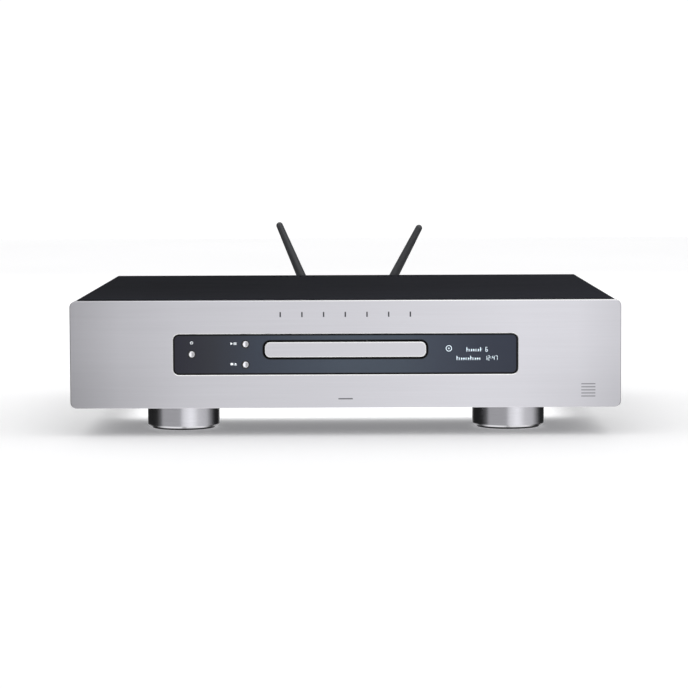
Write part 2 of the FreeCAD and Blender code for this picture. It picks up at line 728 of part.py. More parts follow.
def make_chassis_base():
    """The folded floor with side flanges, rows of vents and the holes for screws."""
    body = new_body("chassis_base", "0", PANEL_BACK, "foot_height")
    length = "case_depth - panel_thick"
    profile = sketch_on(body, "XZ_Plane", f"-({length})")
    half = f"{BASE_WIDTH} / 2"
    inner = f"({half} - base_sheet)"
    corners = [
        (f"-{half}", "0"),
        (half, "0"),
        (half, "flange_height"),
        (inner, "flange_height"),
        (inner, "base_sheet"),
        (f"-{inner}", "base_sheet"),
        (f"-{inner}", "flange_height"),
        (f"-{half}", "flange_height"),
    ]
    draw_polygon(profile, corners)
    pad(body, profile, length)
    vent = sketch_on(body, "XY_Plane", "base_sheet")
    draw_rectangle(vent, "vent_width", "vent_length", "-150", "case_depth * 0.62")
    slot = pocket(body, vent, "base_sheet")
    repeat(body, slot, "X_Axis", "12 * vent_pitch", 13)
    vent = sketch_on(body, "XY_Plane", "base_sheet")
    draw_rectangle(vent, "vent_width", "vent_length", "60", "case_depth * 0.62")
    slot = pocket(body, vent, "base_sheet")
    repeat(body, slot, "X_Axis", "16 * vent_pitch", 17)
    holes = sketch_on(body, "XY_Plane", "base_sheet")
    for x in BASE_SCREW_X:
        draw_circle(holes, "screw_radius + screw_gap", x, "flange_depth * 0.6")
        draw_circle(holes, "screw_radius + screw_gap", x, f"{length} - base_sheet - flange_depth * 0.6")
    for x, y in FEET.values():
        draw_circle(holes, "3.25", x, f"{y} - {PANEL_BACK}")
    pocket(body, holes, "base_sheet")
    sides = sketch_on(body, "YZ_Plane")
    for y in CASE_SCREW_Y:
        draw_circle(sides, "screw_radius + screw_gap", f"{y} - {PANEL_BACK}", "flange_height * 0.6")
    pocket(body, sides, "cover_width + 10", both_ways=True)
    edge_at = number(half)
    finish_edges(
        body,
        "Fillet",
        "base_bend",
        lambda edge: lies_at(edge, "z", 0) and abs(abs(edge.BoundBox.Center.x) - edge_at) < 1e-3,
    )


def make_rear_panel():
    """The rear plate with folded lips and an opening for each connector."""
    width = f"({BASE_WIDTH} - 2 * base_sheet - 2 * base_bend)"
    body = new_body("rear_panel", "0", BACK, BASE_TOP)
    side = sketch_on(body, "YZ_Plane", f"-{width} / 2")
    tall = f"({COVER_TOP} - cover_sheet - 1.3 - {BASE_TOP})"
    corners = [
        ("0", "0"),
        ("0", tall),
        ("-base_sheet - flange_depth", tall),
        ("-base_sheet - flange_depth", f"{tall} - base_sheet"),
        ("-base_sheet", f"{tall} - base_sheet"),
        ("-base_sheet", "base_sheet"),
        ("-base_sheet - flange_depth", "base_sheet"),
        ("-base_sheet - flange_depth", "0"),
    ]
    draw_polygon(side, corners)
    pad(body, side, width)
    holes = sketch_on(body, "XZ_Plane", "base_sheet")
    for x, z, radius in REAR_ROUND:
        draw_circle(holes, f"{radius} + 0.1", x, f"{z} - {BASE_TOP}")
    for x, z, wide, high in REAR_SQUARE:
        draw_rectangle(holes, f"{wide} + 0.2", f"{high} + 0.2", x, f"{z} - {BASE_TOP}")
    pocket(body, holes, "3 * base_sheet")
    feet = sketch_on(body, "XY_Plane", "base_sheet")
    for x in BASE_SCREW_X:
        draw_circle(feet, "screw_radius + screw_gap", x, "-base_sheet - flange_depth * 0.6")
    pocket(body, feet, "base_sheet")


XLRS = [("180", "52"), ("144", "52")]
PHONOS = [("112", "63"), ("112", "42"), ("86", "42")]
TRIGGERS = [("-5", "44"), ("-21", "44")]
ANTENNAS = {"left": ("-antenna_x", -1, "left_lean"), "right": ("antenna_x", 1, "right_lean")}
REAR_ROUND = (
    [(x, z, "11") for x, z in XLRS]
    + [(x, z, "4.6") for x, z in PHONOS]
    + [(x, z, "3.4") for x, z in TRIGGERS]
    + [(x, "antenna_rise", "3.2") for x, _, _ in ANTENNAS.values()]
)
REAR_SQUARE = [
    ("inlet_x", "mains_rise", "27", "20"),
    ("switch_x", "mains_rise", "21", "24.6"),
    ("86", "63", "10", "10"),
    ("54", "44", "12.4", "11"),
    ("27", "44", "16", "13.6"),
]


def make_top_cover():
    """The folded cover: a roof and two sides with round bends, vents and clearance holes."""
    body = new_body("top_cover", "0", PANEL_BACK, COVER_TOP)
    length = "case_depth + cover_overhang - panel_thick"
    profile = sketch_on(body, "XZ_Plane", f"-({length})")
    half = "cover_width / 2"
    inner = "(cover_width / 2 - cover_sheet)"
    low = f"-({COVER_TOP} - foot_height - 0.6)"
    corners = [
        (f"-{half}", "0"),
        (f"-{half}", low),
        (f"-{inner}", low),
        (f"-{inner}", "-cover_sheet"),
        (inner, "-cover_sheet"),
        (inner, low),
        (half, low),
        (half, "0"),
    ]
    draw_polygon(profile, corners)
    pad(body, profile, length)
    for start in ("-29.5 - 6 * vent_pitch", "29.5"):
        vent = sketch_on(body, "XY_Plane")
        draw_rectangle(vent, "vent_width * 0.8", "9", start, f"{length} - 22")
        slot = pocket(body, vent, "2 * cover_sheet")
        repeat(body, slot, "X_Axis", "6 * vent_pitch", 7)
    sides = sketch_on(body, "YZ_Plane")
    height = f"{CASE_SCREW_RISE} - {COVER_TOP}"
    for y in CASE_SCREW_Y:
        draw_circle(sides, "screw_radius + screw_gap", f"{y} - {PANEL_BACK}", height)
    pocket(body, sides, "cover_width + 10", both_ways=True)
    outside = number(half)
    finish_edges(
        body,
        "Fillet",
        "cover_bend",
        lambda edge: lies_at(edge, "z", 0) and abs(abs(edge.BoundBox.Center.x) - outside) < 1e-3,
    )
    inside = number(inner)
    under = -number("cover_sheet")
    finish_edges(
        body,
        "Fillet",
        "cover_bend - cover_sheet",
        lambda edge: lies_at(edge, "z", under) and abs(abs(edge.BoundBox.Center.x) - inside) < 1e-3
        and edge.BoundBox.YLength > 50,
    )


def side_screw(side, y, z):
    """A cover screw: its head outside the cover and its shank through to the base's flange."""
    out = f"{side} * cover_width / 2"
    if side > 0:
        head = cylinder("screw_head", "1.8", out, y, z, "X")
        shank = cylinder("screw_radius", "screw_grip", f"{out} - screw_grip", y, z, "X")
    else:
        head = cylinder("screw_head", "1.8", f"{out} - 1.8", y, z, "X")
        shank = cylinder("screw_radius", "screw_grip", out, y, z, "X")
    slot = block("1.4", "0.9", "5", f"{side} * (cover_width / 2 + 1.8)", f"{y} - 0.45", f"{z} - 2.5")
    across = block("1.4", "5", "0.9", f"{side} * (cover_width / 2 + 1.8)", f"{y} - 2.5", f"{z} - 0.45")
    return cut(fuse(head, shank), slot, across)


def make_case_screws():
    """The screws of the cover, of the fascia and of the base."""
    group("cover_screws", [side_screw(side, y, CASE_SCREW_RISE) for side in (-1, 1) for y in CASE_SCREW_Y])
    screws = []
    seat = f"({PANEL_BACK} + base_sheet)"
    for x, z in PANEL_SCREWS:
        head = cylinder("screw_head", "2", x, seat, f"{PANEL_MIDDLE} + {z}", "Y")
        reach = "(base_sheet + panel_thick * 0.5)"
        shank = cylinder("screw_radius", reach, x, f"{seat} - {reach}", f"{PANEL_MIDDLE} + {z}", "Y")
        screws.append(fuse(head, shank))
    shared["chassis_screws"].extend(screws)
    rear = f"({BACK} - base_sheet - flange_depth * 0.6)"
    front = f"({PANEL_BACK} + flange_depth * 0.6)"
    places = [(x, y) for x in BASE_SCREW_X for y in (front, rear)]
    upright_screws("chassis_screws", places, "foot_height", "screw_radius", "screw_head", "8", down=False)


def make_feet():
    """Three turned feet, each with a rubber pad let into it and one screw from above."""
    high = "(foot_height - pad_proud)"
    recess = "(pad_thick - pad_proud)"
    feet = []
    for label, (x, y) in FEET.items():
        profile = [
            ("3.25", recess),
            ("pad_radius + 0.2", recess),
            ("pad_radius + 0.2", "0"),
            ("foot_radius", "0"),
            ("foot_radius", high),
            ("3.25", high),
        ]
        body = turned(label, profile, x, y, "pad_proud", kept=False)
        radius = number("foot_radius")

        def outer(edge, level):
            return lies_at(edge, "z", level) and edge.BoundBox.XLength > 2 * radius - 1

        finish_edges(body, "Chamfer", "foot_round", lambda edge: outer(edge, 0))
        top = number(high)
        finish_edges(body, "Chamfer", "0.5", lambda edge: outer(edge, top))
        feet.append(body)
    group("feet", feet)
    pads = [cut(cylinder("pad_radius", "pad_thick", x, y, "0"), cylinder("9", "10", x, y, "-1"))
            for x, y in FEET.values()]
    group("foot_pads", pads)
    upright_screws("chassis_screws", list(FEET.values()), BASE_TOP, "3", "5.5", "16", "3.6")


# ---- Front controls -------------------------------------------------------------------------------


def make_tray_front():
    """The tray's metal front, with a bevel all round."""
    body = new_body("tray_front", "0", f"{FRONT} + tray_front_set", TRAY_MIDDLE)
    outline = sketch_on(body, "XZ_Plane", "-tray_front_thick")
    draw_rounded(outline, "tray_front_width", "tray_front_height", "tray_front_corner")
    pad(body, outline, "tray_front_thick")
    finish_edges(body, "Chamfer", "tray_front_bevel", lambda edge: lies_at(edge, "y", 0))


def make_buttons():
    """Three turned push buttons with dished crowns, and the small switches behind them."""
    seat = "(panel_thick - rebate_depth + window_flange + 0.1 - button_set)"
    end = f"({seat} + 4)"
    for label, (x, z) in BUTTONS.items():
        profile = [
            ("0", "0.45"),
            ("button_radius * 0.55", "0.2"),
            ("button_radius * 0.78", "0"),
            ("button_radius", "0.5"),
            ("button_radius", seat),
            ("button_flange", seat),
            ("button_flange", f"{seat} + 1.5"),
            ("1.5", f"{seat} + 1.5"),
            ("1.5", end),
            ("0", end),
        ]
        turned(label, profile, x, f"{FRONT} + button_set", f"{PANEL_MIDDLE} + {z}", along="Y")
    switches = []
    nose = f"({FRONT} + button_set + {end} + button_travel + 0.1)"
    for x, z in BUTTONS.values():
        plunger = cylinder("1.75", "0.7", x, nose, f"{PANEL_MIDDLE} + {z}", "Y")
        case = block("6", "3.5", "6", x, f"{nose} + 0.6", f"{PANEL_MIDDLE} + {z} - 3")
        switches.append(fuse(plunger, case))
    shared["board_parts"].extend(switches)
    board_front = f"({nose} + 4.1)"
    shared["front_boards"].append(front_board(BUTTON_BOARD_X, "button_board_width", board_front))
    return board_front


def board_posts(x, width):
    """Where a front board's four spacers stand: (x, z)."""
    reach = f"({width} / 2 - front_board_inset)"
    return [
        (f"{x} + {side} * {reach}", f"{PANEL_MIDDLE} + {level} * front_board_rise")
        for side in (-1, 1)
        for level in (-1, 1)
    ]


def front_board(x, width, y):
    """An upright board behind the window, drilled for its spacers."""
    low = f"{PANEL_MIDDLE} - front_board_height / 2"
    board = block(width, "board_thick", "front_board_height", x, y, low, "board")
    holes = [cylinder("1.4", "4", px, f"{y} - 1", pz, "Y") for px, pz in board_posts(x, width)]
    return cut(board, *holes)


def make_display(button_board_front):
    """The display module, its board and the spacers of both front boards."""
    start = f"({FRONT} + panel_thick - rebate_depth + window_flange + 0.1)"
    thick = "(module_thick + 1)"
    low = f"{PANEL_MIDDLE} - module_height / 2"
    module = block("module_width", thick, "module_height", MODULE_X, start, low)
    frame = block("module_width - 4", "1", "module_height - 5", MODULE_X, f"{start} - 0.5", f"{low} + 2.5")
    keep(cut(module, frame), "display_module")
    back = f"({start} + {thick})"
    shared["front_boards"].append(front_board(MODULE_X, "display_board_width", back))
    plate = f"({PANEL_BACK} + base_sheet)"
    spacers = []
    boards = (
        (BUTTON_BOARD_X, "button_board_width", button_board_front),
        (MODULE_X, "display_board_width", back),
    )
    for x, width, end in boards:
        for px, pz in board_posts(x, width):
            tube = cylinder("2.4", f"{end} - {plate}", px, plate, pz, "Y")
            bore = cylinder("1.2", f"{end} - {plate} + 2", px, f"{plate} - 1", pz, "Y")
            spacers.append(cut(tube, bore))
    shared["standoffs"].extend(spacers)


# ---- Loading mechanism ----------------------------------------------------------------------------


def make_disc_tray():
    """The sliding tray: two wells, a slot open to the back and a rack under its right side."""
    plate = block(TRAY_WIDTH, "tray_length", "tray_thick", "0", TRAY_START, TRAY_BOTTOM)
    well = cylinder("disc_radius", "10", "0", DISC_LINE, f"{TRAY_TOP} - well_depth")
    small = cylinder("small_disc_radius", "10", "0", DISC_LINE, f"{TRAY_TOP} - small_well_depth")
    slot = block("tray_slot", "200", "20", "0", DISC_LINE, f"{TRAY_BOTTOM} - 5")
    nose = cylinder("tray_slot / 2", "20", "0", DISC_LINE, f"{TRAY_BOTTOM} - 5")
    thumb_x = f"-{TRAY_WIDTH} / 2 + 6"
    thumb_left = block("30", "24", "3", thumb_x, f"{DISC_LINE} - 12", f"{TRAY_TOP} - well_depth")
    drain = cylinder("2.5", "20", "-45", f"{DISC_LINE} + 85", f"{TRAY_BOTTOM} - 5")
    drain_right = cylinder("2.5", "20", "36", f"{DISC_LINE} + 85", f"{TRAY_BOTTOM} - 5")
    pitch = math.pi * RACK_MODULE
    teeth = rack(RACK_MODULE, 47, number("rack_depth") + 0.5, 3.5)
    first = f"({GEAR_LINE} - {2.5 * pitch})"
    strip = shaped("rack", teeth, "rack_line", first, f"{TRAY_BOTTOM} - rack_depth")
    tray = cut(plate, well, small, slot, nose, thumb_left, drain, drain_right)
    keep(fuse(tray, strip), "disc_tray")


def make_loader_frame():
    """The moulded frame: walls, ledges, hooks, gear deck, cam guides and the pins of the gears."""
    start = f"({FRONT} + frame_front)"
    low = f"({TRAY_MIDDLE} - frame_below)"
    high = f"({TRAY_MIDDLE} + frame_above)"
    pieces = []
    for side in ("-1", "1"):
        wall = f"{side} * ({FRAME_INSIDE} + frame_wall / 2)"
        pieces.append(block("frame_wall", "frame_length", f"{high} - {low}", wall, start, low))
        ledge = f"{side} * ({FRAME_INSIDE} - 3)"
        shelf = f"({TRAY_BOTTOM} - tray_clear)"
        pieces.append(block("8", "frame_length", "1.8", ledge, start, f"{shelf} - 1.8"))
        hook = f"{side} * ({FRAME_INSIDE} - 1.2)"
        for along in ("14", "76", "124"):
            pieces.append(block("4", "9", "1.7", hook, f"{start} + {along}", f"{TRAY_TOP} + tray_clear"))
        for along in ("8", "142"):
            lug = f"{side} * ({FRAME_OUTSIDE} + 5.5)"
            pieces.append(block("12", "14", "3", lug, f"{start} + {along}", low))
    inside = f"2 * {FRAME_INSIDE} + 1"
    pieces.append(block(inside, "deck_length", "deck_thick", "0", start, f"{DECK_TOP} - deck_thick"))
    beam = f"({FRONT} + cam_front - 2.7)"
    pieces.append(block(inside, "7", "1.9", "0", beam, low))
    for side in ("-1", "1"):
        keeper = f"({FRONT} + cam_front + cam_thick + 0.2)"
        pieces.append(block("30", "1.5", "6", f"{side} * 44", keeper, low))
    rear = f"({start} + frame_length - frame_wall)"
    pieces.append(block(inside, "frame_wall", "22", "0", rear, low))
    for x in (f"(rack_line - {RACK_MODULE * DRIVE_TEETH / 2})", PULLEY_X):
        top = "11.2" if x != PULLEY_X else "8.2"
        pieces.append(cylinder("gear_pin", f"{top} + 1", x, GEAR_LINE, f"{DECK_TOP} - 1"))
    tools = [cylinder("3.2", "10", "motor_x", GEAR_LINE, f"{DECK_TOP} - 6")]
    tools += [cylinder("1.2", "10", f"motor_x + {dx}", GEAR_LINE, f"{DECK_TOP} - 6") for dx in (-8, 8)]
    tools.append(cylinder("hinge_pin + running_gap", "200", "-100", HINGE_LINE, HINGE_RISE, "X"))
    for side in ("-1", "1"):
        for along in ("8", "142"):
            lug = f"{side} * ({FRAME_OUTSIDE} + 5.5)"
            tools.append(cylinder("1.7", "10", lug, f"{start} + {along} + 7", f"{low} - 2"))
        for along in ("60", "104"):
            wall = f"{side} * ({FRAME_INSIDE} + frame_wall / 2)"
            tools.append(block("10", "26", "14", wall, f"{start} + {along}", f"{low} + 5"))
    keep(cut(fuse(*pieces), *tools), "loader_frame")
    posts, places = [], []
    for side in ("-1", "1"):
        for along in ("8", "142"):
            x, y = f"{side} * ({FRAME_OUTSIDE} + 5.5)", f"{start} + {along} + 7"
            tube = cylinder("4.5", f"{low} - {BASE_TOP}", x, y, BASE_TOP)
            posts.append(cut(tube, cylinder("1.6", "30", x, y, f"{BASE_TOP} + 1")))
            places.append((x, y))
    shared["standoffs"].extend(posts)
    upright_screws("chassis_screws", places, f"({low} + 3)", "1.5", "3", "9")


PULLEY_X = f"(rack_line - {RACK_MODULE * DRIVE_TEETH / 2 + STEP_MODULE * (STEP_TEETH + PULLEY_TEETH) / 2})"
BELT_Z = f"({DECK_TOP} + 2.75)"


def make_loading_drive():
    """The loading motor, its pulley, the belt, and the two stepped gears that reach the rack."""
    low = f"({DECK_TOP} - deck_thick - motor_height)"
    can = cylinder("motor_radius", "motor_height", "motor_x", GEAR_LINE, low)
    boss = cylinder("3", "deck_thick", "motor_x", GEAR_LINE, f"{DECK_TOP} - deck_thick")
    shaft = cylinder("1", "deck_thick + 4.6", "motor_x", GEAR_LINE, f"{DECK_TOP} - deck_thick")
    tail = cylinder("4", "1.5", "motor_x", GEAR_LINE, f"{low} - 1.5")
    tabs = [block("2", "0.5", "3.2", f"motor_x + {dx}", GEAR_LINE, f"{low} - 2.2") for dx in (-7, 7)]
    keep(fuse(can, boss, shaft, tail, *tabs), "loading_motor")
    half = "(belt_side / 2 + 0.12)"
    bottom = f"({DECK_TOP} + 0.8)"
    for label, x, radius, bore in (
        ("motor_pulley", "motor_x", "motor_pulley_radius", "1 + running_gap"),
        ("pulley", PULLEY_X, "pulley_radius", "gear_pin + running_gap"),
    ):
        wheel = cylinder(radius, "3.9", x, GEAR_LINE, bottom)
        groove = cut(
            cylinder(f"{radius} + 2", f"2 * {half}", x, GEAR_LINE, f"{BELT_Z} - {half}"),
            cylinder(f"{radius} - groove_depth", f"2 * {half}", x, GEAR_LINE, f"{BELT_Z} - {half}"),
        )
        hole = cylinder(bore, "20", x, GEAR_LINE, f"{bottom} - 5")
        turned_wheel = cut(wheel, groove, hole)
        if label == "motor_pulley":
            flats = [block("1", "1.6", "4.2", "motor_x", f"{GEAR_LINE} + 1.8", f"{bottom} - 0.1")]
            keep(cut(turned_wheel, *flats), label)
        else:
            large_pulley = turned_wheel
    bore = number("gear_pin + running_gap")
    mesh = math.pi + math.pi / STEP_TEETH
    pinion_shape = gear(STEP_MODULE, PULLEY_TEETH, 3.8, bore, turn=0.0)
    pinion = shaped("pinion", pinion_shape, PULLEY_X, GEAR_LINE, f"{bottom} + 3.9")
    spokes = []
    for hole in range(3):
        angle = 0.6 + 2 * math.pi * hole / 3
        hole_x, hole_y = f"{PULLEY_X} + {8 * math.cos(angle)}", f"{GEAR_LINE} + {8 * math.sin(angle)}"
        spokes.append(cylinder("2.2", "20", hole_x, hole_y, f"{bottom} - 5"))
    keep(cut(fuse(large_pulley, pinion), *spokes), "pulley_gear")
    drive_x = f"(rack_line - {RACK_MODULE * DRIVE_TEETH / 2})"
    step = shaped("step", gear(STEP_MODULE, STEP_TEETH, 3, bore, turn=mesh), drive_x, GEAR_LINE,
                  f"{DECK_TOP} + 5.1")
    top = shaped("top", gear(RACK_MODULE, DRIVE_TEETH, 2.6, bore, turn=0.0), drive_x, GEAR_LINE,
                 f"{DECK_TOP} + 8.5")
    hub = cut(cylinder("4", "10.4", drive_x, GEAR_LINE, f"{DECK_TOP} + 0.6"),
              cylinder("gear_pin + running_gap", "30", drive_x, GEAR_LINE, DECK_TOP))
    holes = []
    for hole in range(5):
        angle = 0.5 + 2 * math.pi * hole / 5
        hole_x, hole_y = f"{drive_x} + {8 * math.cos(angle)}", f"{GEAR_LINE} + {8 * math.sin(angle)}"
        holes.append(cylinder("2.6", "20", hole_x, hole_y, DECK_TOP))
    keep(cut(fuse(step, top, hub), *holes), "drive_gear")
    start = Vector(number("motor_x"), number(GEAR_LINE), 0)
    end = Vector(number(PULLEY_X), number(GEAR_LINE), 0)
    small, large = number("motor_pulley_radius - groove_depth"), number("pulley_radius - groove_depth")
    side = number("belt_side")
    band = loop_face(start, small + 0.05 + side, end, large + 0.05 + side)
    hollow = loop_face(start, small + 0.05, end, large + 0.05)
    belt = band.cut(hollow).extrude(Vector(0, 0, side))
    keep(shaped("drive_belt", belt, "0", "0", f"{BELT_Z} - belt_side / 2"), "drive_belt")


def make_cam_slider():
    """The sideways plate whose two slanted slots lift and lower the front of the tilt frame."""
    low = f"({TRAY_MIDDLE} - frame_below + 2.1)"
    plate = block("76", "cam_thick", f"{HINGE_RISE} + 5 - {low}", "-8", f"{FRONT} + cam_front", low)
    travel, drop = number("cam_travel"), number("lift_drop")
    slots = []
    for side in ("-1", "1"):
        outline = loop_face(Vector(), 1.85, Vector(-travel, -drop, 0), 1.85)
        solid = outline.extrude(Vector(0, 0, 30))
        solid.rotate(Vector(), Vector(1, 0, 0), 90)
        slots.append(shaped("slot", solid, f"{side} * lift_pin_x", f"{FRONT} + cam_front + 15", HINGE_RISE))
    tab = block("6", "cam_thick", "3", "-38", f"{FRONT} + cam_front", f"{HINGE_RISE} + 5")
    keep(cut(fuse(plate, tab), *slots), "cam_slider")


def make_tilt_frame():
    """The ring that carries the traverse, hinged at the back and held by two pins at the front."""
    start = f"({FRONT} + tilt_front)"
    length = "(hinge_line - tilt_front + 4)"
    low = f"({HINGE_RISE} - tilt_thick / 2)"
    ring = block("tilt_width", length, "tilt_thick", "0", start, low)
    inner = "tilt_width - 2 * tilt_rail", f"{length} - 2 * tilt_rail"
    middle = block(*inner, "10", "0", f"{start} + tilt_rail", f"{low} - 3")
    pieces = [cut(ring, middle)]
    reach = f"({FRAME_OUTSIDE} - tilt_width / 2 + 2)"
    front = f"({FRONT} + cam_front - 0.4)"
    for side, pin_x in ((-1, f"-{FRAME_OUTSIDE}"), (1, "tilt_width / 2 - 2")):
        pieces.append(cylinder("hinge_pin", reach, pin_x, HINGE_LINE, HINGE_RISE, "X"))
        pin_line = f"{side} * lift_pin_x"
        pieces.append(cylinder("lift_pin", f"{start} + 3 - {front}", pin_line, front, HINGE_RISE, "Y"))
    keep(fuse(*pieces), "tilt_frame")


GROMMETS = [(f"{side} * 50.5", f"({FRONT} + {along})") for side in (-1, 1) for along in (72, 150)]
ROD_BLOCKS = [76, 151]


def make_traverse():
    """The steel traverse plate with its rubber mounts, rods and rod holders."""
    low = f"({TRAVERSE_TOP} - traverse_thick)"
    outline = "traverse_width", "traverse_length"
    plate = block(*outline, "traverse_thick", "0", f"{FRONT} + traverse_front", low)
    tools = [block("30", "66", "10", "0", f"{FRONT} + 85", f"{low} - 3")]
    tools += [cylinder("2.4", "10", x, y, f"{low} - 3") for x, y in GROMMETS]
    tools += [block("22", "30", "10", f"{side} * 34", f"{FRONT} + 82", f"{low} - 3") for side in (-1, 1)]
    pieces = [cut(plate, *tools)]
    rod_z = f"({TRAVERSE_TOP} + rod_rise)"
    for side in ("-1", "1"):
        for along in ROD_BLOCKS:
            holder_y, holder_z = f"{FRONT} + {along}", f"{TRAVERSE_TOP} - 0.5"
            pieces.append(block("5.6", "4", "rod_rise + 3", f"{side} * rod_x", holder_y, holder_z))
    pieces.append(cylinder("1", "6.4", SLED_GEAR_X, SLED_LINE, f"{TRAVERSE_TOP} - 0.5"))
    rods_room, rods = [], []
    for side in (-1, 1):
        rod_at = f"{side} * rod_x"
        rods_room.append(cylinder("rod_radius + 0.02", "120", rod_at, f"{FRONT} + 70", rod_z, "Y"))
        rods.append(cylinder("rod_radius", "80", rod_at, f"{FRONT} + 75.5", rod_z, "Y"))
    shaft_room = cylinder("1.6", "10", SLED_MOTOR_X, SLED_MOTOR_Y, f"{low} - 3")
    keep(cut(fuse(*pieces), *rods_room, shaft_room), "traverse_plate")
    group("guide_rods", rods)
    ring_top = f"({HINGE_RISE} + tilt_thick / 2)"
    rubbers = []
    for x, y in GROMMETS:
        lower = cylinder("4", f"{low} - {ring_top}", x, y, ring_top)
        neck = cylinder("2.3", "traverse_thick + 0.4", x, y, f"{low} - 0.2")
        upper = cylinder("4", "1.4", x, y, TRAVERSE_TOP)
        rubbers.append(fuse(lower, neck, upper))
    group("damper_grommets", rubbers)


SLED_GEAR_X = f"(sled_rack_line + {SLED_MODULE * SLED_TEETH / 2})"
SLED_LINE = f"({FRONT} + sled_gear_line)"
SLED_REACH = SLED_WHEEL_MODULE * (SLED_WHEEL_TEETH + SLED_PINION_TEETH) / 2
SLED_ANGLE = math.radians(60)
SLED_MOTOR_X = f"({SLED_GEAR_X} + {SLED_REACH * math.cos(SLED_ANGLE)})"
SLED_MOTOR_Y = f"({SLED_LINE} + {SLED_REACH * math.sin(SLED_ANGLE)})"


def make_pickup():
    """The laser pickup on its rods, with the gear train that moves it."""
    lens_line = f"({DISC_LINE} + pickup_inner)"
    start = f"({lens_line} - 8)"
    body_low = f"({TRAVERSE_TOP} + 2.2)"
    body = block("44", "sled_length", "5", "0", start, body_low)
    belly = block("26", "sled_length - 4", "6.2", "0", f"{start} + 2", f"{TRAVERSE_TOP} - 3.5")
    rod_z = f"({TRAVERSE_TOP} + rod_rise)"
    rooms = [
        cylinder("rod_radius + running_gap", "200", "-rod_x", f"{FRONT} + 60", rod_z, "Y"),
        block("6", "200", "2 * rod_radius + 2 * running_gap", "rod_x + 1.4", f"{FRONT} + 60",
              f"{rod_z} - rod_radius - running_gap"),
        block("18", "14", "4", "0", f"{start} + 1.5", f"{body_low} + 3"),
    ]
    teeth = rack(SLED_MODULE, 22, 2.4, 3.0)
    teeth.rotate(Vector(), Vector(0, 0, 1), 180)
    pitch = math.pi * SLED_MODULE
    strip = shaped("sled_rack", teeth, "sled_rack_line", f"{SLED_LINE} + {2.5 * pitch}", f"{rod_z} - 1.3")
    web = block("3.4", "sled_length", "1.2", "22.6", start, f"{body_low} + 3.8")
    web_down = block("1.5", "sled_length", "5", "23.6", start, f"{body_low}")
    keep(fuse(cut(fuse(body, belly), *rooms), strip, web, web_down), "pickup_sled")
    lens_z = f"({body_low} + 3.1)"
    holder = block("12", "9", "3.4", "0", f"{lens_line} - 4.5", lens_z)
    barrel = cylinder("3.6", "1.2", "0", lens_line, f"{lens_z} + 3.4")
    glass = ball("6", "0", lens_line, f"{lens_z} - 0.9")
    cap = cut(glass, block("20", "20", "20", "0", f"{lens_line} - 10", f"{lens_z} - 15.8"))
    aperture = cylinder("2.5", "3", "0", lens_line, f"{lens_z} + 3.6")
    keep(fuse(cut(fuse(holder, barrel), aperture), cap), "pickup_lens")
    bore = number("1 + running_gap")
    small = gear(SLED_MODULE, SLED_TEETH, 3.2, bore, turn=math.pi)
    large = gear(SLED_WHEEL_MODULE, SLED_WHEEL_TEETH, 1.6, bore, turn=SLED_ANGLE)
    step = shaped("sled_step", small, SLED_GEAR_X, SLED_LINE, f"{TRAVERSE_TOP} + 2.0")
    wheel = shaped("sled_wheel", large, SLED_GEAR_X, SLED_LINE, f"{TRAVERSE_TOP} + 0.4")
    keep(fuse(step, wheel), "sled_gear")
    turn = SLED_ANGLE + math.pi + math.pi / SLED_PINION_TEETH
    teeth = gear(SLED_WHEEL_MODULE, SLED_PINION_TEETH, 2.4, number("0.5 + running_gap"), turn=turn)
    keep(shaped("sled_teeth", teeth, SLED_MOTOR_X, SLED_MOTOR_Y, f"{TRAVERSE_TOP} + 0.3"), "sled_pinion")
    low = f"({TRAVERSE_TOP} - traverse_thick)"
    can = cylinder("6", "9", SLED_MOTOR_X, SLED_MOTOR_Y, f"{low} - 9")
    boss = cylinder("1.5", "traverse_thick", SLED_MOTOR_X, SLED_MOTOR_Y, low)
    shaft = cylinder("0.5", "4.4", SLED_MOTOR_X, SLED_MOTOR_Y, low)
    keep(fuse(can, boss, shaft), "sled_motor")


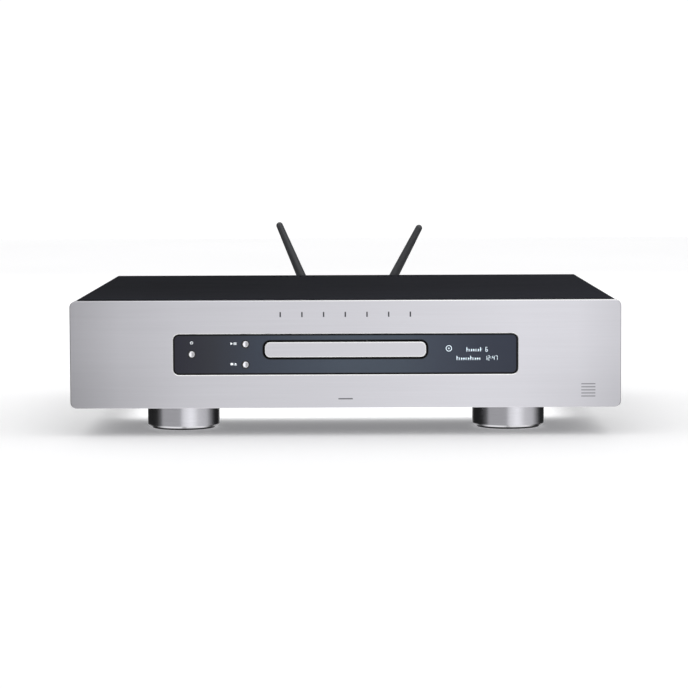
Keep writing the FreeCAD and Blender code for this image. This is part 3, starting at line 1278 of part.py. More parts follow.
def make_spindle():
    """The spindle motor, the turntable, and the clamper that hangs in its bridge above."""
    can = cylinder("12", "7", "0", DISC_LINE, TRAVERSE_TOP)
    bearing = cylinder("3", "1.6", "0", DISC_LINE, f"{TRAVERSE_TOP} + 7")
    shaft = cylinder("1", "12.6", "0", DISC_LINE, f"{TRAVERSE_TOP} + 1")
    keep(fuse(can, bearing, shaft), "spindle_motor")
    face = f"({TRAY_MIDDLE} - platter_rise)"
    platter = cylinder("platter_radius", "3", "0", DISC_LINE, f"{face} - 3")
    hub = cylinder("7.4", "1.2", "0", DISC_LINE, face)
    nose = cone("7.4", "5", "1.6", "0", DISC_LINE, f"{face} + 1.2")
    bore = cylinder("1 + running_gap", "5.2", "0", DISC_LINE, f"{face} - 4")
    rim_z = f"{face} - 0.4"
    rim = cut(cylinder("12.5", "2", "0", DISC_LINE, rim_z), cylinder("9", "2", "0", DISC_LINE, rim_z))
    keep(cut(fuse(cut(platter, rim), hub, nose), bore), "turntable")
    bridge = f"({TRAY_MIDDLE} + frame_above)"
    plate = block(f"2 * {FRAME_OUTSIDE}", "46", "1.2", "0", f"{DISC_LINE} - 23", bridge)
    room = cylinder("12", "10", "0", DISC_LINE, f"{bridge} - 5")
    through = f"{bridge} - 5"
    lighten = [block("22", "26", "10", f"{side} * 38", f"{DISC_LINE} - 13", through) for side in (-1, 1)]
    rib_lines = (f"{DISC_LINE} - 20", f"{DISC_LINE} + 18.8")
    ribs = [block("100", "1.2", "3", "0", line, f"{bridge} + 1") for line in rib_lines]
    keep(fuse(cut(plate, room, *lighten), *ribs), "clamp_bridge")
    low = f"({TRAY_MIDDLE} + 1.5)"
    disc = cylinder("15", "1.8", "0", DISC_LINE, low)
    neck = cylinder("10", f"{bridge} + 1.2 + clamp_gap - {low} + 0.5", "0", DISC_LINE, low)
    flange = cylinder("16", "1.4", "0", DISC_LINE, f"{bridge} + 1.2 + clamp_gap")
    cap = cylinder("9", "1", "0", DISC_LINE, f"{bridge} + 2.6 + clamp_gap")
    mark = block("1.2", "5", "3", "0", f"{DISC_LINE} + 9.5", f"{bridge} + 2 + clamp_gap")
    recess = cylinder("8.2", "2.6", "0", DISC_LINE, low)
    keep(cut(fuse(disc, neck, flange, cap), recess, mark), "clamper")


# ---- Electronics ----------------------------------------------------------------------------------


def make_transformer():
    """The toroidal transformer: wound coil, pressing dish and bolt."""
    low = f"({BASE_TOP} + 1.5)"
    coil = doc.addObject("Part::Torus", "coil")
    tall = "(coil_height / 2)"
    bind(coil, "Radius2", tall)
    bind(coil, "Radius1", f"coil_radius - {tall}")
    place(coil, COIL_X, f"{FRONT} + coil_line", f"{low} + {tall}")
    core = cut(cylinder("coil_radius - 6", "coil_height", COIL_X, f"{FRONT} + coil_line", low),
               cylinder("coil_hole", "coil_height + 2", COIL_X, f"{FRONT} + coil_line", f"{low} - 1"))
    bore = cylinder("coil_hole", "coil_height + 2", COIL_X, f"{FRONT} + coil_line", f"{low} - 1")
    keep(cut(fuse(coil, core), bore), "transformer_coil")
    mat = cut(cylinder("coil_radius - 4", "1.5", COIL_X, f"{FRONT} + coil_line", BASE_TOP),
              cylinder("4", "3", COIL_X, f"{FRONT} + coil_line", f"{BASE_TOP} - 1"))
    top = f"({low} + coil_height)"
    dish = cylinder("27", "1.2", COIL_X, f"{FRONT} + coil_line", top)
    stud = cylinder("3", f"{top} + 7 - {BASE_TOP}", COIL_X, f"{FRONT} + coil_line", BASE_TOP)
    nut = doc.addObject("Part::Prism", "nut")
    nut.Polygon = 6
    bind(nut, "Circumradius", "5.8")
    bind(nut, "Height", "4.5")
    place(nut, COIL_X, f"{FRONT} + coil_line", f"{top} + 1.2")
    group("transformer_mount", [mat, fuse(dish, stud, nut)])


BOARDS = {
    "power_board": ("-138", "104", POWER_BOARD_Y, f"({BACK} - board_end - {POWER_BOARD_Y})"),
    "main_board": ("68", "258", MAIN_BOARD_Y, f"({BACK} - board_end - {MAIN_BOARD_Y})"),
}


def on_board(share):
    """A line across the boards, at a share of their depth from the front."""
    return f"({POWER_BOARD_Y} + {share} * ({BACK} - board_end - {POWER_BOARD_Y}))"


def make_boards():
    """The power board and the main board on their standoffs, with their screws."""
    posts, screws = [], []
    for label, (x, width, y, depth) in BOARDS.items():
        board = block(width, depth, "board_thick", x, y, BOARD_BOTTOM)
        holes = []
        for side in (-1, 1):
            for end in ("post_inset", f"{depth} - post_inset"):
                px, py = f"{x} + {side} * ({width} / 2 - post_inset)", f"{y} + {end}"
                holes.append(cylinder("1.7", "10", px, py, f"{BOARD_BOTTOM} - 4"))
                post = cylinder("post_radius", "post_height", px, py, BASE_TOP)
                posts.append(cut(post, cylinder("1.6", "20", px, py, f"{BASE_TOP} + 1")))
                screws.append((px, py))
        keep(cut(board, *holes), label)
    shared["standoffs"].extend(posts)
    upright_screws("chassis_screws", screws, BOARD_TOP, "1.5", "2.9", "7.6")


# Capacitors on the boards: x, share of the boards' depth, radius and height.
CANS = [
    ("-170", 0.13, "9", "32"),
    ("-149.5", 0.13, "9", "32"),
    ("-129", 0.13, "9", "32"),
    ("-174", 0.3, "6.5", "22"),
    ("-156", 0.3, "6.5", "22"),
    ("150", 0.28, "6.5", "22"),
    ("170", 0.28, "6.5", "22"),
    ("150", 0.44, "6.5", "22"),
    ("170", 0.44, "6.5", "22"),
]
# Chips, coils and connectors: x, share of the boards' depth, width, depth and height.
CHIPS = [
    ("30", 0.4, "24", "24", "2.6"),
    ("70", 0.48, "16", "16", "2.2"),
    ("110", 0.48, "14", "10", "2.2"),
    ("0", 0.28, "12", "18", "2.4"),
    ("-30", 0.62, "26", "34", "4.5"),
    ("60", 0.22, "8", "5", "3.4"),
    ("76", 0.27, "20", "6", "8"),
    ("120", 0.72, "10", "6", "2"),
    ("140", 0.72, "10", "6", "2"),
    ("170", 0.65, "20", "8", "12"),
    ("20", 0.72, "9", "9", "2"),
    ("-45", 0.17, "16", "6", "8"),
    ("-92", 0.33, "10", "18", "14"),
    ("-175", 0.75, "10", "18", "12"),
    ("-106", 0.11, "10", "6", "9"),
]


def make_board_parts():
    """What stands on the boards: capacitors, heat sink, shield, chips and connectors."""
    cans = []
    for x, share, radius, height in CANS:
        at = on_board(share)
        can = cylinder(radius, height, x, at, BOARD_TOP)
        waist = cut(cylinder(f"{radius} + 1", "1.4", x, at, f"{BOARD_TOP} + 2.6"),
                    cylinder(f"{radius} - 0.5", "1.4", x, at, f"{BOARD_TOP} + 2.6"))
        score = block(radius, "0.6", "0.5", x, f"{at} - 0.3", f"{BOARD_TOP} + {height} - 0.4")
        cans.append(cut(can, waist, score))
    group("filter_capacitors", cans)
    sink = [block("62", "4", "30", "-130", on_board(0.48), BOARD_TOP)]
    for fin in range(9):
        sink.append(block("1.6", "13", "30", f"{-130 - 28 + fin * 7}", f"{on_board(0.48)} + 3", BOARD_TOP))
    shared["board_metalwork"].append(fuse(*sink))
    chips = []
    for x, share, wide, deep, high in CHIPS:
        chips.append(block(wide, deep, high, x, on_board(share), BOARD_TOP))
    shared["board_parts"].extend(chips)
    lid_y = f"({MAIN_BOARD_Y} + 5)"
    lid = block("44", "28", "5", "112", lid_y, BOARD_TOP)
    dents = [block("36", "1", "1", "112", f"{lid_y} + {5 + k * 6}", f"{BOARD_TOP} + 4.5") for k in range(4)]
    shared["board_metalwork"].append(cut(lid, *dents))


def make_ribbons():
    """Flat cables down the backs of the front boards, along the floor and up to the boards behind."""
    cables = []
    level = f"({BASE_TOP} + base_sheet + 0.3)"
    for x, start, end in ((MODULE_X, "14.7", "206"), (f"(-{FRAME_OUTSIDE} - 22)", "18.4", "190")):
        front = f"({FRONT} + {start})"
        drop = block("18", "0.8", f"{PANEL_MIDDLE} - 8 - {level}", x, front, level)
        run = block("18", f"{end} - {start}", "0.8", x, front, level)
        plug = block("20", "4", "6", x, front, f"{PANEL_MIDDLE} - 14")
        header = block("20", "4", f"{BOARD_BOTTOM} - {level}", x, f"{FRONT} + {end} - 4", level)
        cables.append(fuse(drop, run, plug, header))
    group("ribbon_cables", cables)


# ---- Rear connectors ------------------------------------------------------------------------------


def make_mains():
    """The mains inlet, the switch's housing and its rocker."""
    outside = BACK
    flange = block("33", "2", "26", "inlet_x", outside, "mains_rise - 13")
    shell = block("27", "20", "20", "inlet_x", f"{outside} - 20", "mains_rise - 10")
    hollow = block("23", "17", "16", "inlet_x", f"{outside} - 13", "mains_rise - 8")
    blades = [block("1.8", "9", "4", f"inlet_x + {dx}", f"{outside} - 14", f"mains_rise + {dz}")
              for dx, dz in ((-5.4, -3.3), (0, -0.1), (5.4, -3.3))]
    tails = [block("4", "8", "0.8", f"inlet_x + {dx}", f"{outside} - 27", f"mains_rise + {dz}")
             for dx, dz in ((-6, -3), (0, 3), (6, -3))]
    keep(fuse(cut(fuse(flange, shell), hollow), *blades, *tails), "iec_inlet")
    flange = block("25", "1.6", "28.6", "switch_x", outside, "mains_rise - 14.3")
    shell = block("21", "17", "24.6", "switch_x", f"{outside} - 17", "mains_rise - 12.3")
    hollow = block("14", "14", "21", "switch_x", f"{outside} - 10", "mains_rise - 10.5")
    axle = cylinder("1.8 + running_gap", "30", "switch_x - 15", f"{outside} - 1", "mains_rise", "X")
    tails = [block("0.8", "8", "5", f"switch_x + {dx}", f"{outside} - 24", f"mains_rise + {dz}")
             for dx in (-4, 4) for dz in (-9, 3)]
    keep(fuse(cut(fuse(flange, shell), hollow, axle), *tails), "mains_switch")
    rocker = new_body("mains_rocker", "switch_x", f"{outside} - 1", "mains_rise")
    side = sketch_on(rocker, "YZ_Plane", "-13.4 / 2")
    outline = [
        ("-4", "-8.6"), ("2.6", "-9.3"), ("4.4", "-9.1"), ("2.9", "0"),
        ("4.4", "9.1"), ("2.6", "9.3"), ("-4", "8.6"), ("-5", "0"),
    ]
    draw_polygon(side, outline)
    pad(rocker, side, "13.4")
    across = sketch_on(rocker, "YZ_Plane", "-19.6 / 2")
    draw_circle(across, "1.8", "0", "0")
    pad(rocker, across, "19.6")


def make_xlr():
    """Two three-pin output sockets."""
    sockets = []
    for x, z in XLRS:
        flange = block("26", "2", "31", x, BACK, f"{z} - 15.5")
        shell = cylinder("11", "22", x, f"{BACK} - 20", z, "Y")
        hollow = cylinder("9.3", "20", x, f"{BACK} - 14", z, "Y")
        pins = []
        for angle in (math.pi / 6, 5 * math.pi / 6, 3 * math.pi / 2):
            pin_x, pin_z = f"{x} + {4.4 * math.cos(angle)}", f"{z} + {4.4 * math.sin(angle)}"
            pins.append(cylinder("1.2", "11", pin_x, f"{BACK} - 15", pin_z, "Y"))
        screws = [cylinder("1.7", "4", f"{x} + {dx}", f"{BACK} - 1", f"{z} + {dz}", "Y")
                  for dx, dz in ((-9.5, 12), (9.5, -12))]
        tails = [cylinder("0.8", "5", f"{x} + {dx}", f"{BACK} - 25", z, "Y") for dx in (-4, 0, 4)]
        sockets.append(fuse(cut(fuse(flange, shell), hollow, *screws), *pins, *tails))
    group("xlr_sockets", sockets)


def make_phonos():
    """Phono jacks: barrel, flange, insulating collar and the sprung centre hole."""
    jacks = []
    for x, z in PHONOS:
        flange = cylinder("6", "1.6", x, BACK, z, "Y")
        stem = cylinder("4.5", "3", x, f"{BACK} - 3", z, "Y")
        body = block("12", "12", "12", x, f"{BACK} - base_sheet - 12", f"{z} - 6")
        barrel = cylinder("phono_radius", "phono_length + 1.6", x, BACK, z, "Y")
        ring = cut(cylinder("3.4", "2.5", x, f"{BACK} + phono_length - 0.6", z, "Y"),
                   cylinder("2.2", "2.5", x, f"{BACK} + phono_length - 0.6", z, "Y"))
        hole = cylinder("1.6", "phono_length + 2", x, BACK, z, "Y")
        jacks.append(cut(fuse(flange, stem, body, barrel), ring, hole))
    group("rca_jacks", jacks)


def make_data_sockets():
    """The optical, USB, network and trigger sockets."""
    optical_x, optical_z = "86", "63"
    shell = block("10", "14", "10", optical_x, f"{BACK} - 12", f"{optical_z} - 5")
    lip = block("13", "1.4", "13", optical_x, BACK, f"{optical_z} - 6.5")
    flap = block("6.6", "1.2", "6.6", optical_x, f"{BACK} + 1.2", f"{optical_z} - 3.3")
    keep(cut(fuse(shell, lip), flap), "optical_socket")
    shell = block("12.4", "16", "11", "54", f"{BACK} - 14.5", "44 - 5.5")
    hollow = block("8.6", "12", "7.8", "54", f"{BACK} - 8.5", "44 - 3.9")
    tongue = block("5.6", "9", "3.2", "54", f"{BACK} - 9", "44 - 1.6")
    keep(fuse(cut(shell, hollow), tongue), "usb_socket")
    shell = block("16", "21", "13.6", "27", f"{BACK} - 19.5", "44 - 6.8")
    hollow = block("12", "14", "8.2", "27", f"{BACK} - 10.5", "44 - 4.6")
    latch = block("6.2", "14", "2.8", "27", f"{BACK} - 8", "44 + 3.4")
    wire_lines = [f"27 + {dx}" for dx in (-4.5, -3.2, 3.2, 4.5)]
    wires = [block("0.5", "9", "0.5", x, f"{BACK} - 11", "44 + 2.3") for x in wire_lines]
    keep(fuse(cut(shell, hollow, latch), *wires), "lan_socket")
    jacks = []
    for x, z in TRIGGERS:
        case = block("10", "13", "10", x, f"{BACK} - base_sheet - 13", f"{z} - 5")
        neck = cylinder("3.3", "5", x, f"{BACK} - 3", z, "Y")
        nut = cylinder("5", "1.6", x, BACK, z, "Y")
        jacks.append(cut(fuse(case, neck, nut), cylinder("1.75", "14", x, f"{BACK} - 10", z, "Y")))
    group("trigger_jacks", jacks)


def make_antennas():
    """The aerial sockets, and on each a knuckle that swivels and a rod that folds."""
    collars = []
    for x, _, _ in ANTENNAS.values():
        thread = cylinder("3.1", "14", x, f"{BACK} - 5", "antenna_rise", "Y")
        nut = doc.addObject("Part::Prism", "nut")
        nut.Polygon = 6
        nut.Placement = Placement(Vector(), TURNS["Y"])
        bind(nut, "Circumradius", "5")
        bind(nut, "Height", "2.2")
        place(nut, x, BACK, "antenna_rise")
        back_nut = cylinder("5", "2", x, f"{BACK} - base_sheet - 2", "antenna_rise", "Y")
        collars.append(fuse(thread, nut, back_nut))
    group("antenna_sockets", collars)
    hub = "(antenna_pivot - 5)"
    for side, (x, way, lean) in ANTENNAS.items():
        barrel = cylinder("4.5", f"{hub} - 2.6 - 2.6", "0", "-antenna_pivot + 2.6", "0", "Y")
        bore = cylinder("3.1 + running_gap", "7", "0", "-antenna_pivot + 2", "0", "Y")
        neck = cylinder("4.1", "4", "0", "-7.6", "0", "Y")
        cheeks = []
        for face in (-1, 1):
            cheek_x = f"{face} * 3.15"
            cheeks.append(block("2.1", "6.6", "8.2", cheek_x, "-6", "-4.1"))
            cheeks.append(cylinder("4.1", "2.1", f"{cheek_x} - 1.05", "0", "0", "X"))
        pin = cylinder("1.2", "7", "-3.5", "0", "0", "X")
        room = cylinder("4.7", "4.2", "-2.1", "0", "0", "X")
        knuckle = fuse(cut(fuse(barrel, neck, *cheeks), bore, room), pin)
        keep(at_lean(f"{side}_knuckle", knuckle, x, way, lean), f"{side}_antenna_knuckle")
        disc = cylinder("4.1", "3.9", "-1.95", "0", "0", "X")
        eye = cylinder("1.2 + running_gap", "10", "-5", "0", "0", "X")
        tongue = block("3.9", "7", "4.8", "0", "-3.5", "1.6")
        root = cylinder("antenna_root", "3", "0", "0", "5.4")
        rod = cone("antenna_root", "antenna_tip", "antenna_length - 8.4 - antenna_tip", "0", "0", "8.4")
        tip = ball("antenna_tip", "0", "0", "antenna_length - antenna_tip")
        joined = cut(fuse(disc, tongue, root, rod, tip), eye)
        keep(at_lean(f"{side}_rod", joined, x, way, lean), f"{side}_antenna")


def at_lean(name, thing, x, way, lean):
    """Stands a thing made about its own pivot on the aerial's pivot, leaning left (-1) or right (1)."""
    standing = doc.addObject("Part::Compound", name)
    standing.Links = [thing]
    standing.Placement = Placement(Vector(), Rotation(Vector(0, way, 0), number(lean)))
    place(standing, x, f"{BACK} + antenna_pivot", "antenna_rise")
    bind(standing, "Placement.Rotation.Angle", f"{lean} * 1deg")
    return standing


# ---- Build, check and write -----------------------------------------------------------------------


def build():
    """Makes every piece."""
    make_front_panel()
    make_display_window()
    make_front_subframe()
    make_chassis_base()
    make_rear_panel()
    make_top_cover()
    make_case_screws()
    make_feet()
    make_tray_front()
    make_display(make_buttons())
    make_disc_tray()
    make_loader_frame()
    make_loading_drive()
    make_cam_slider()
    make_tilt_frame()
    make_traverse()
    make_pickup()
    make_spindle()
    make_transformer()
    make_boards()
    make_board_parts()
    make_ribbons()
    make_mains()
    make_xlr()
    make_phonos()
    make_data_sockets()
    make_antennas()
    for label, things in shared.items():
        group(label, things)
    doc.recompute()


def check():
    """Stops if any object of the document failed, or if a piece has no sound shape."""
    for thing in doc.Objects:
        if {"Invalid", "Error"} & set(thing.State):
            raise RuntimeError(f"{thing.Label} failed to recompute: {thing.State}")
    for thing in parts:
        shape = thing.Shape
        if shape.isNull() or not shape.Solids or not shape.isValid():
            raise RuntimeError(f"{thing.Label} has no sound solid")


def write():
    """Writes each piece to its own file."""
    os.makedirs("parts", exist_ok=True)
    for thing in parts:
        thing.Shape.exportStep(f"parts/{thing.Label}.step")


fill_sheet()
build()
check()
write()
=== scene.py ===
"""The look of a full-size disc player: finishes for its parts, and small pieces that CAD leaves out."""

import math

import bpy
import numpy as np
from mathutils import Matrix, Vector


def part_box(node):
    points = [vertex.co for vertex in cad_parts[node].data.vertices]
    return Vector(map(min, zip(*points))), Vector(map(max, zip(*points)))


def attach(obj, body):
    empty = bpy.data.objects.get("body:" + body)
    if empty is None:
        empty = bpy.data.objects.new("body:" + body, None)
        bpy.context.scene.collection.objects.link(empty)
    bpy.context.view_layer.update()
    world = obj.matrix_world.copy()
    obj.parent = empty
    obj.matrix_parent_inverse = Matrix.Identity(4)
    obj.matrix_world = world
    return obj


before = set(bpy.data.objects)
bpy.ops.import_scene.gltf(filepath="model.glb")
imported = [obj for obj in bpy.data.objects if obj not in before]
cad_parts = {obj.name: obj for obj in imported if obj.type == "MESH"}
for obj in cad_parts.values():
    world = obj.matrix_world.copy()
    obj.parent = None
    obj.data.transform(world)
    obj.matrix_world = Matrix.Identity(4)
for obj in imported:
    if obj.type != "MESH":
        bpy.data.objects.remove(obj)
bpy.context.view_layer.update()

bl_info = {
    "name": "Disc player",
    "version": (1, 0, 0),
    "blender": (4, 5, 0),
    "location": "3D View > Sidebar > Disc player",
    "description": "Finishes and small pieces of a full-size disc player, round its packed frame",
    "category": "Object",
}

MM = 0.001
ROOT = "chassis"


# ---- Places taken from the frame ------------------------------------------------------------------


def low(node):
    """A part's lowest corner, as a vector."""
    return Vector(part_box(node)[0])


def high(node):
    """A part's highest corner, as a vector."""
    return Vector(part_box(node)[1])


def middle(node):
    """The middle of a part's box."""
    return (low(node) + high(node)) / 2


PANEL_FACE = low("front_panel").y
WINDOW_FACE = low("display_window").y
PANEL_MIDDLE = middle("front_panel").z
PANEL_WIDE = high("front_panel").x - low("front_panel").x
BACK_FACE = high("rear_panel").y


# ---- Node building --------------------------------------------------------------------------------


def plug(tree, value, socket):
    """Links a wire to a socket, or sets the socket to a plain value."""
    if isinstance(value, Wire):
        tree.links.new(value.socket, socket)
    elif socket.type == "RGBA" and len(value) == 3:
        socket.default_value = (*value, 1.0)
    else:
        socket.default_value = value


class Wire:
    """A shader socket that can be added to, scaled and compared like a number."""

    def __init__(self, tree, socket):
        self.tree = tree
        self.socket = socket

    def maths(self, operation, *others, swap=False):
        """A Math node of that operation on this socket and the others; a swap puts this one last."""
        node = self.tree.nodes.new("ShaderNodeMath")
        node.operation = operation
        values = [*others, self] if swap else [self, *others]
        for value, socket in zip(values, node.inputs):
            plug(self.tree, value, socket)
        return Wire(self.tree, node.outputs[0])

    def __add__(self, other):
        return self.maths("ADD", other)

    def __sub__(self, other):
        return self.maths("SUBTRACT", other)

    def __mul__(self, other):
        return self.maths("MULTIPLY", other)

    def __truediv__(self, other):
        return self.maths("DIVIDE", other)

    def __rsub__(self, other):
        return self.maths("SUBTRACT", other, swap=True)

    __radd__ = __add__
    __rmul__ = __mul__

    def above(self, other):
        """1 where this is greater, else 0."""
        return self.maths("GREATER_THAN", other)

    def below(self, other):
        """1 where this is less, else 0."""
        return self.maths("LESS_THAN", other)

    def repeat(self, pitch):
        """The remainder after dividing by the pitch, never negative."""
        return self.maths("FLOORED_MODULO", pitch)

    def smooth(self, start, end):
        """0 below start, 1 above end and a smooth step between them."""
        settings = {"interpolation_type": "SMOOTHSTEP"}
        return Maker(self.tree).node("ShaderNodeMapRange", settings, self, start, end)

    def between(self, start, end, soft):
        """1 between start and end, and 0 outside, with soft edges."""
        return self.smooth(start - soft, start + soft) * (1 - self.smooth(end - soft, end + soft))


class Maker:
    """A node tree under construction, with one method that adds any node."""

    def __init__(self, tree):
        self.tree = tree

    def node(self, kind, settings, *values, output=None, **named):
        """A node of that type: its settings are set first, then its sockets in turn and by name.

        Only sockets in use count. It gives the output of that name, or else the first one."""
        node = self.tree.nodes.new(kind)
        for key, value in settings.items():
            if key == "stops":
                self.fill_ramp(node.color_ramp, value)
            else:
                setattr(node, key, value)
        sockets = [socket for socket in node.inputs if socket.enabled]
        for value, socket in zip(values, sockets):
            plug(self.tree, value, socket)
        for key, value in named.items():
            plug(self.tree, value, next(s for s in sockets if s.name == key.replace("_", " ")))
        return Wire(self.tree, next(s for s in node.outputs if s.enabled and output in (None, s.name)))

    @staticmethod
    def fill_ramp(ramp, stops):
        """Sets a ramp's stops, each a position and a colour."""
        while len(ramp.elements) < len(stops):
            ramp.elements.new(1.0)
        for element, (position, colour) in zip(ramp.elements, stops):
            element.position = position
            element.color = (*colour, 1.0)

    def mix(self, factor, first, second):
        """A blend of two colours."""
        return self.node("ShaderNodeMix", {"data_type": "RGBA"}, factor, first, second)

    def times(self, first, second):
        """Two colours or vectors multiplied, part by part."""
        return self.node("ShaderNodeVectorMath", {"operation": "MULTIPLY"}, first, second)

    def parts(self, vector):
        """A vector's x, y and z."""
        node = self.node("ShaderNodeSeparateXYZ", {}, vector).socket.node
        return [Wire(self.tree, output) for output in node.outputs]


class Finish(Maker):
    """A material under construction: its shader, and the object's coordinates as wires."""

    def __init__(self, name, **fixed):
        self.material = bpy.data.materials.new(name)
        self.material.use_nodes = True
        super().__init__(self.material.node_tree)
        self.shader = self.tree.nodes["Principled BSDF"]
        for socket, value in fixed.items():
            self.shader.inputs[socket.replace("_", " ")].default_value = value
        self.place = self.node("ShaderNodeTexCoord", {}, output="Object")
        self.x, self.y, self.z = self.parts(self.place)

    def stretched(self, x, y, z):
        """The object's coordinates multiplied by x, y and z."""
        return self.times(self.place, (x, y, z))

    def noise(self, vector, scale, detail=4.0, roughness=0.55):
        """Noise in the range 0 to 1."""
        sockets = {"Vector": vector, "Scale": scale, "Detail": detail, "Roughness": roughness}
        return self.node("ShaderNodeTexNoise", {}, **sockets)

    def outline(self, node, corner):
        """How far a point of the front lies outside a part's round-cornered outline; negative inside.

        With q = |p - middle| - half size + corner, it is length(max(q, 0)) + min(max(q.x, q.z), 0)
        - corner."""
        half = (high(node) - low(node)) / 2
        centre = middle(node)
        across = (self.x - centre.x).maths("ABSOLUTE") - (half.x - corner)
        up = (self.z - centre.z).maths("ABSOLUTE") - (half.z - corner)
        beyond_x, beyond_z = across.maths("MAXIMUM", 0.0), up.maths("MAXIMUM", 0.0)
        beyond = (beyond_x * beyond_x + beyond_z * beyond_z).maths("SQRT")
        return beyond + across.maths("MAXIMUM", up).maths("MINIMUM", 0.0) - corner

    def feed(self, socket, wire):
        """Links a wire to one of the shader's sockets."""
        self.tree.links.new(wire.socket, self.shader.inputs[socket])

    def bump(self, height, strength, distance):
        """Bumps the surface: a height of 1 is that distance, in metres, at full strength."""
        sockets = {"Height": height, "Strength": strength, "Distance": distance}
        self.feed("Normal", self.node("ShaderNodeBump", {}, **sockets))

    def angle(self, x, y):
        """The angle round an upright axis at x, y, from -pi to pi."""
        return (self.y - y).maths("ARCTAN2", self.x - x)

    def radius(self, first, second, across="x", along="y"):
        """The distance from an axis at those two coordinates, which runs along the third."""
        right, up = getattr(self, across) - first, getattr(self, along) - second
        return (right * right + up * up).maths("SQRT")


def scaled(colour, factor):
    """A colour with its parts multiplied by a factor, and none above 1."""
    return tuple(min(1.0, part * factor) for part in colour)


def paint(material, *nodes):
    """Gives CAD parts a material."""
    for name in nodes:
        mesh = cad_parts[name].data
        mesh.materials.clear()
        mesh.materials.append(material)


# ---- Surfaces -------------------------------------------------------------------------------------


def mesh_piece(name, points, faces, body, material, slot=None):
    """A smooth piece of points and faces at the origin, riding on a body; the slot is not used."""
    mesh = bpy.data.meshes.new(name)
    mesh.from_pydata(np.asarray(points, float).tolist(), [], np.asarray(faces).tolist())
    mesh.polygons.foreach_set("use_smooth", [True] * len(mesh.polygons))
    mesh.materials.append(material)
    mesh.validate()
    mesh.update()
    piece = bpy.data.objects.new(name, mesh)
    bpy.context.scene.collection.objects.link(piece)
    if body:
        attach(piece, body)
    return piece


def grid_faces(rows, columns, wrap_rows=False, wrap_columns=False):
    """Quads between neighbours of a grid of points, row by row, closed on itself where asked."""
    i = np.arange(rows if wrap_rows else rows - 1)
    j = np.arange(columns if wrap_columns else columns - 1)
    i, j = (a.ravel() for a in np.meshgrid(i, j, indexing="ij"))
    up, over = (i + 1) % rows, (j + 1) % columns
    here, above = i * columns, up * columns
    return np.stack([here + j, here + over, above + over, above + j], axis=1)


def revolved(profile, centre, axis, steps=64, closed=True):
    """A profile of (radius, distance along) turned about an axis through centre.

    Point (i, j) is centre + along_i * axis + radius_i * (cos a_j * u + sin a_j * v), where u, v and the
    axis are at right angles. A closed profile joins its last point to its first."""
    profile = np.asarray(profile, float)
    axis = np.asarray(axis, float)
    u = np.asarray((0, 0, 1) if abs(axis[2]) < 0.5 else (1, 0, 0), float)
    v = np.cross(axis, u)
    turn = np.arange(steps) * 2 * np.pi / steps
    ring = np.cos(turn)[:, None] * u + np.sin(turn)[:, None] * v
    radius, along = profile[:, 0, None, None], profile[:, 1, None, None]
    points = np.asarray(centre) + along * axis + radius * ring[None]
    faces = grid_faces(len(profile), steps, wrap_rows=closed, wrap_columns=True)
    return points.reshape(-1, 3), faces[:, ::-1]


def joined(*shapes):
    """Several (points, faces) as one."""
    points, faces, start = [], [], 0
    for shape_points, shape_faces in shapes:
        points.append(shape_points)
        faces.append(np.asarray(shape_faces) + start)
        start += len(shape_points)
    return np.concatenate(points), np.concatenate(faces)


# ---- Sizes and colours that a user would change ---------------------------------------------------


class PlayerFinishes(bpy.types.PropertyGroup):
    """Colours of the player's finishes."""

    aluminium: bpy.props.FloatVectorProperty(
        name="Aluminium", description="Fascia, tray front, buttons and feet", subtype="COLOR",
        default=(0.78, 0.775, 0.81),
    )
    coat: bpy.props.FloatVectorProperty(
        name="Coat", description="Powder coat of the cover, base and back", subtype="COLOR",
        default=(0.0118, 0.0126, 0.0168),
    )
    window: bpy.props.FloatVectorProperty(
        name="Window", description="Smoked acrylic of the display window", subtype="COLOR",
        default=(0.018, 0.023, 0.034),
    )
    legend: bpy.props.FloatVectorProperty(
        name="Legend", description="Lit symbols and digits", subtype="COLOR",
        default=(0.72, 0.84, 0.92),
    )
    moulding: bpy.props.FloatVectorProperty(
        name="Moulding", description="Black moulded plastic", subtype="COLOR",
        default=(0.022, 0.022, 0.024),
    )


class PlayerSizes(bpy.types.PropertyGroup):
    """Sizes of the small pieces."""

    symbol: bpy.props.FloatProperty(
        name="Symbol", description="Height of the symbols by the buttons", subtype="DISTANCE",
        default=2.0 * MM,
    )
    digit: bpy.props.FloatProperty(
        name="Digit", description="Height of the display's digits", subtype="DISTANCE",
        default=3.3 * MM,
    )
    print_depth: bpy.props.FloatProperty(
        name="Print", description="Printed symbols stand this far off a surface", subtype="DISTANCE",
        default=0.05 * MM,
    )


def colours():
    """The finishes that the scene holds."""
    return bpy.context.scene.player_finishes


# ---- Finishes -------------------------------------------------------------------------------------


# How light the fascia is painted from its left end, 0, to its right, 1: a painted reflection.
FASCIA_PAINTED_REFLECTION = (
    (0.0, 0.66), (0.03, 0.72), (0.09, 0.84), (0.20, 0.925), (0.32, 0.95),
    (0.50, 0.96), (0.68, 0.98), (0.82, 1.0), (0.92, 0.96), (1.0, 0.83),
)


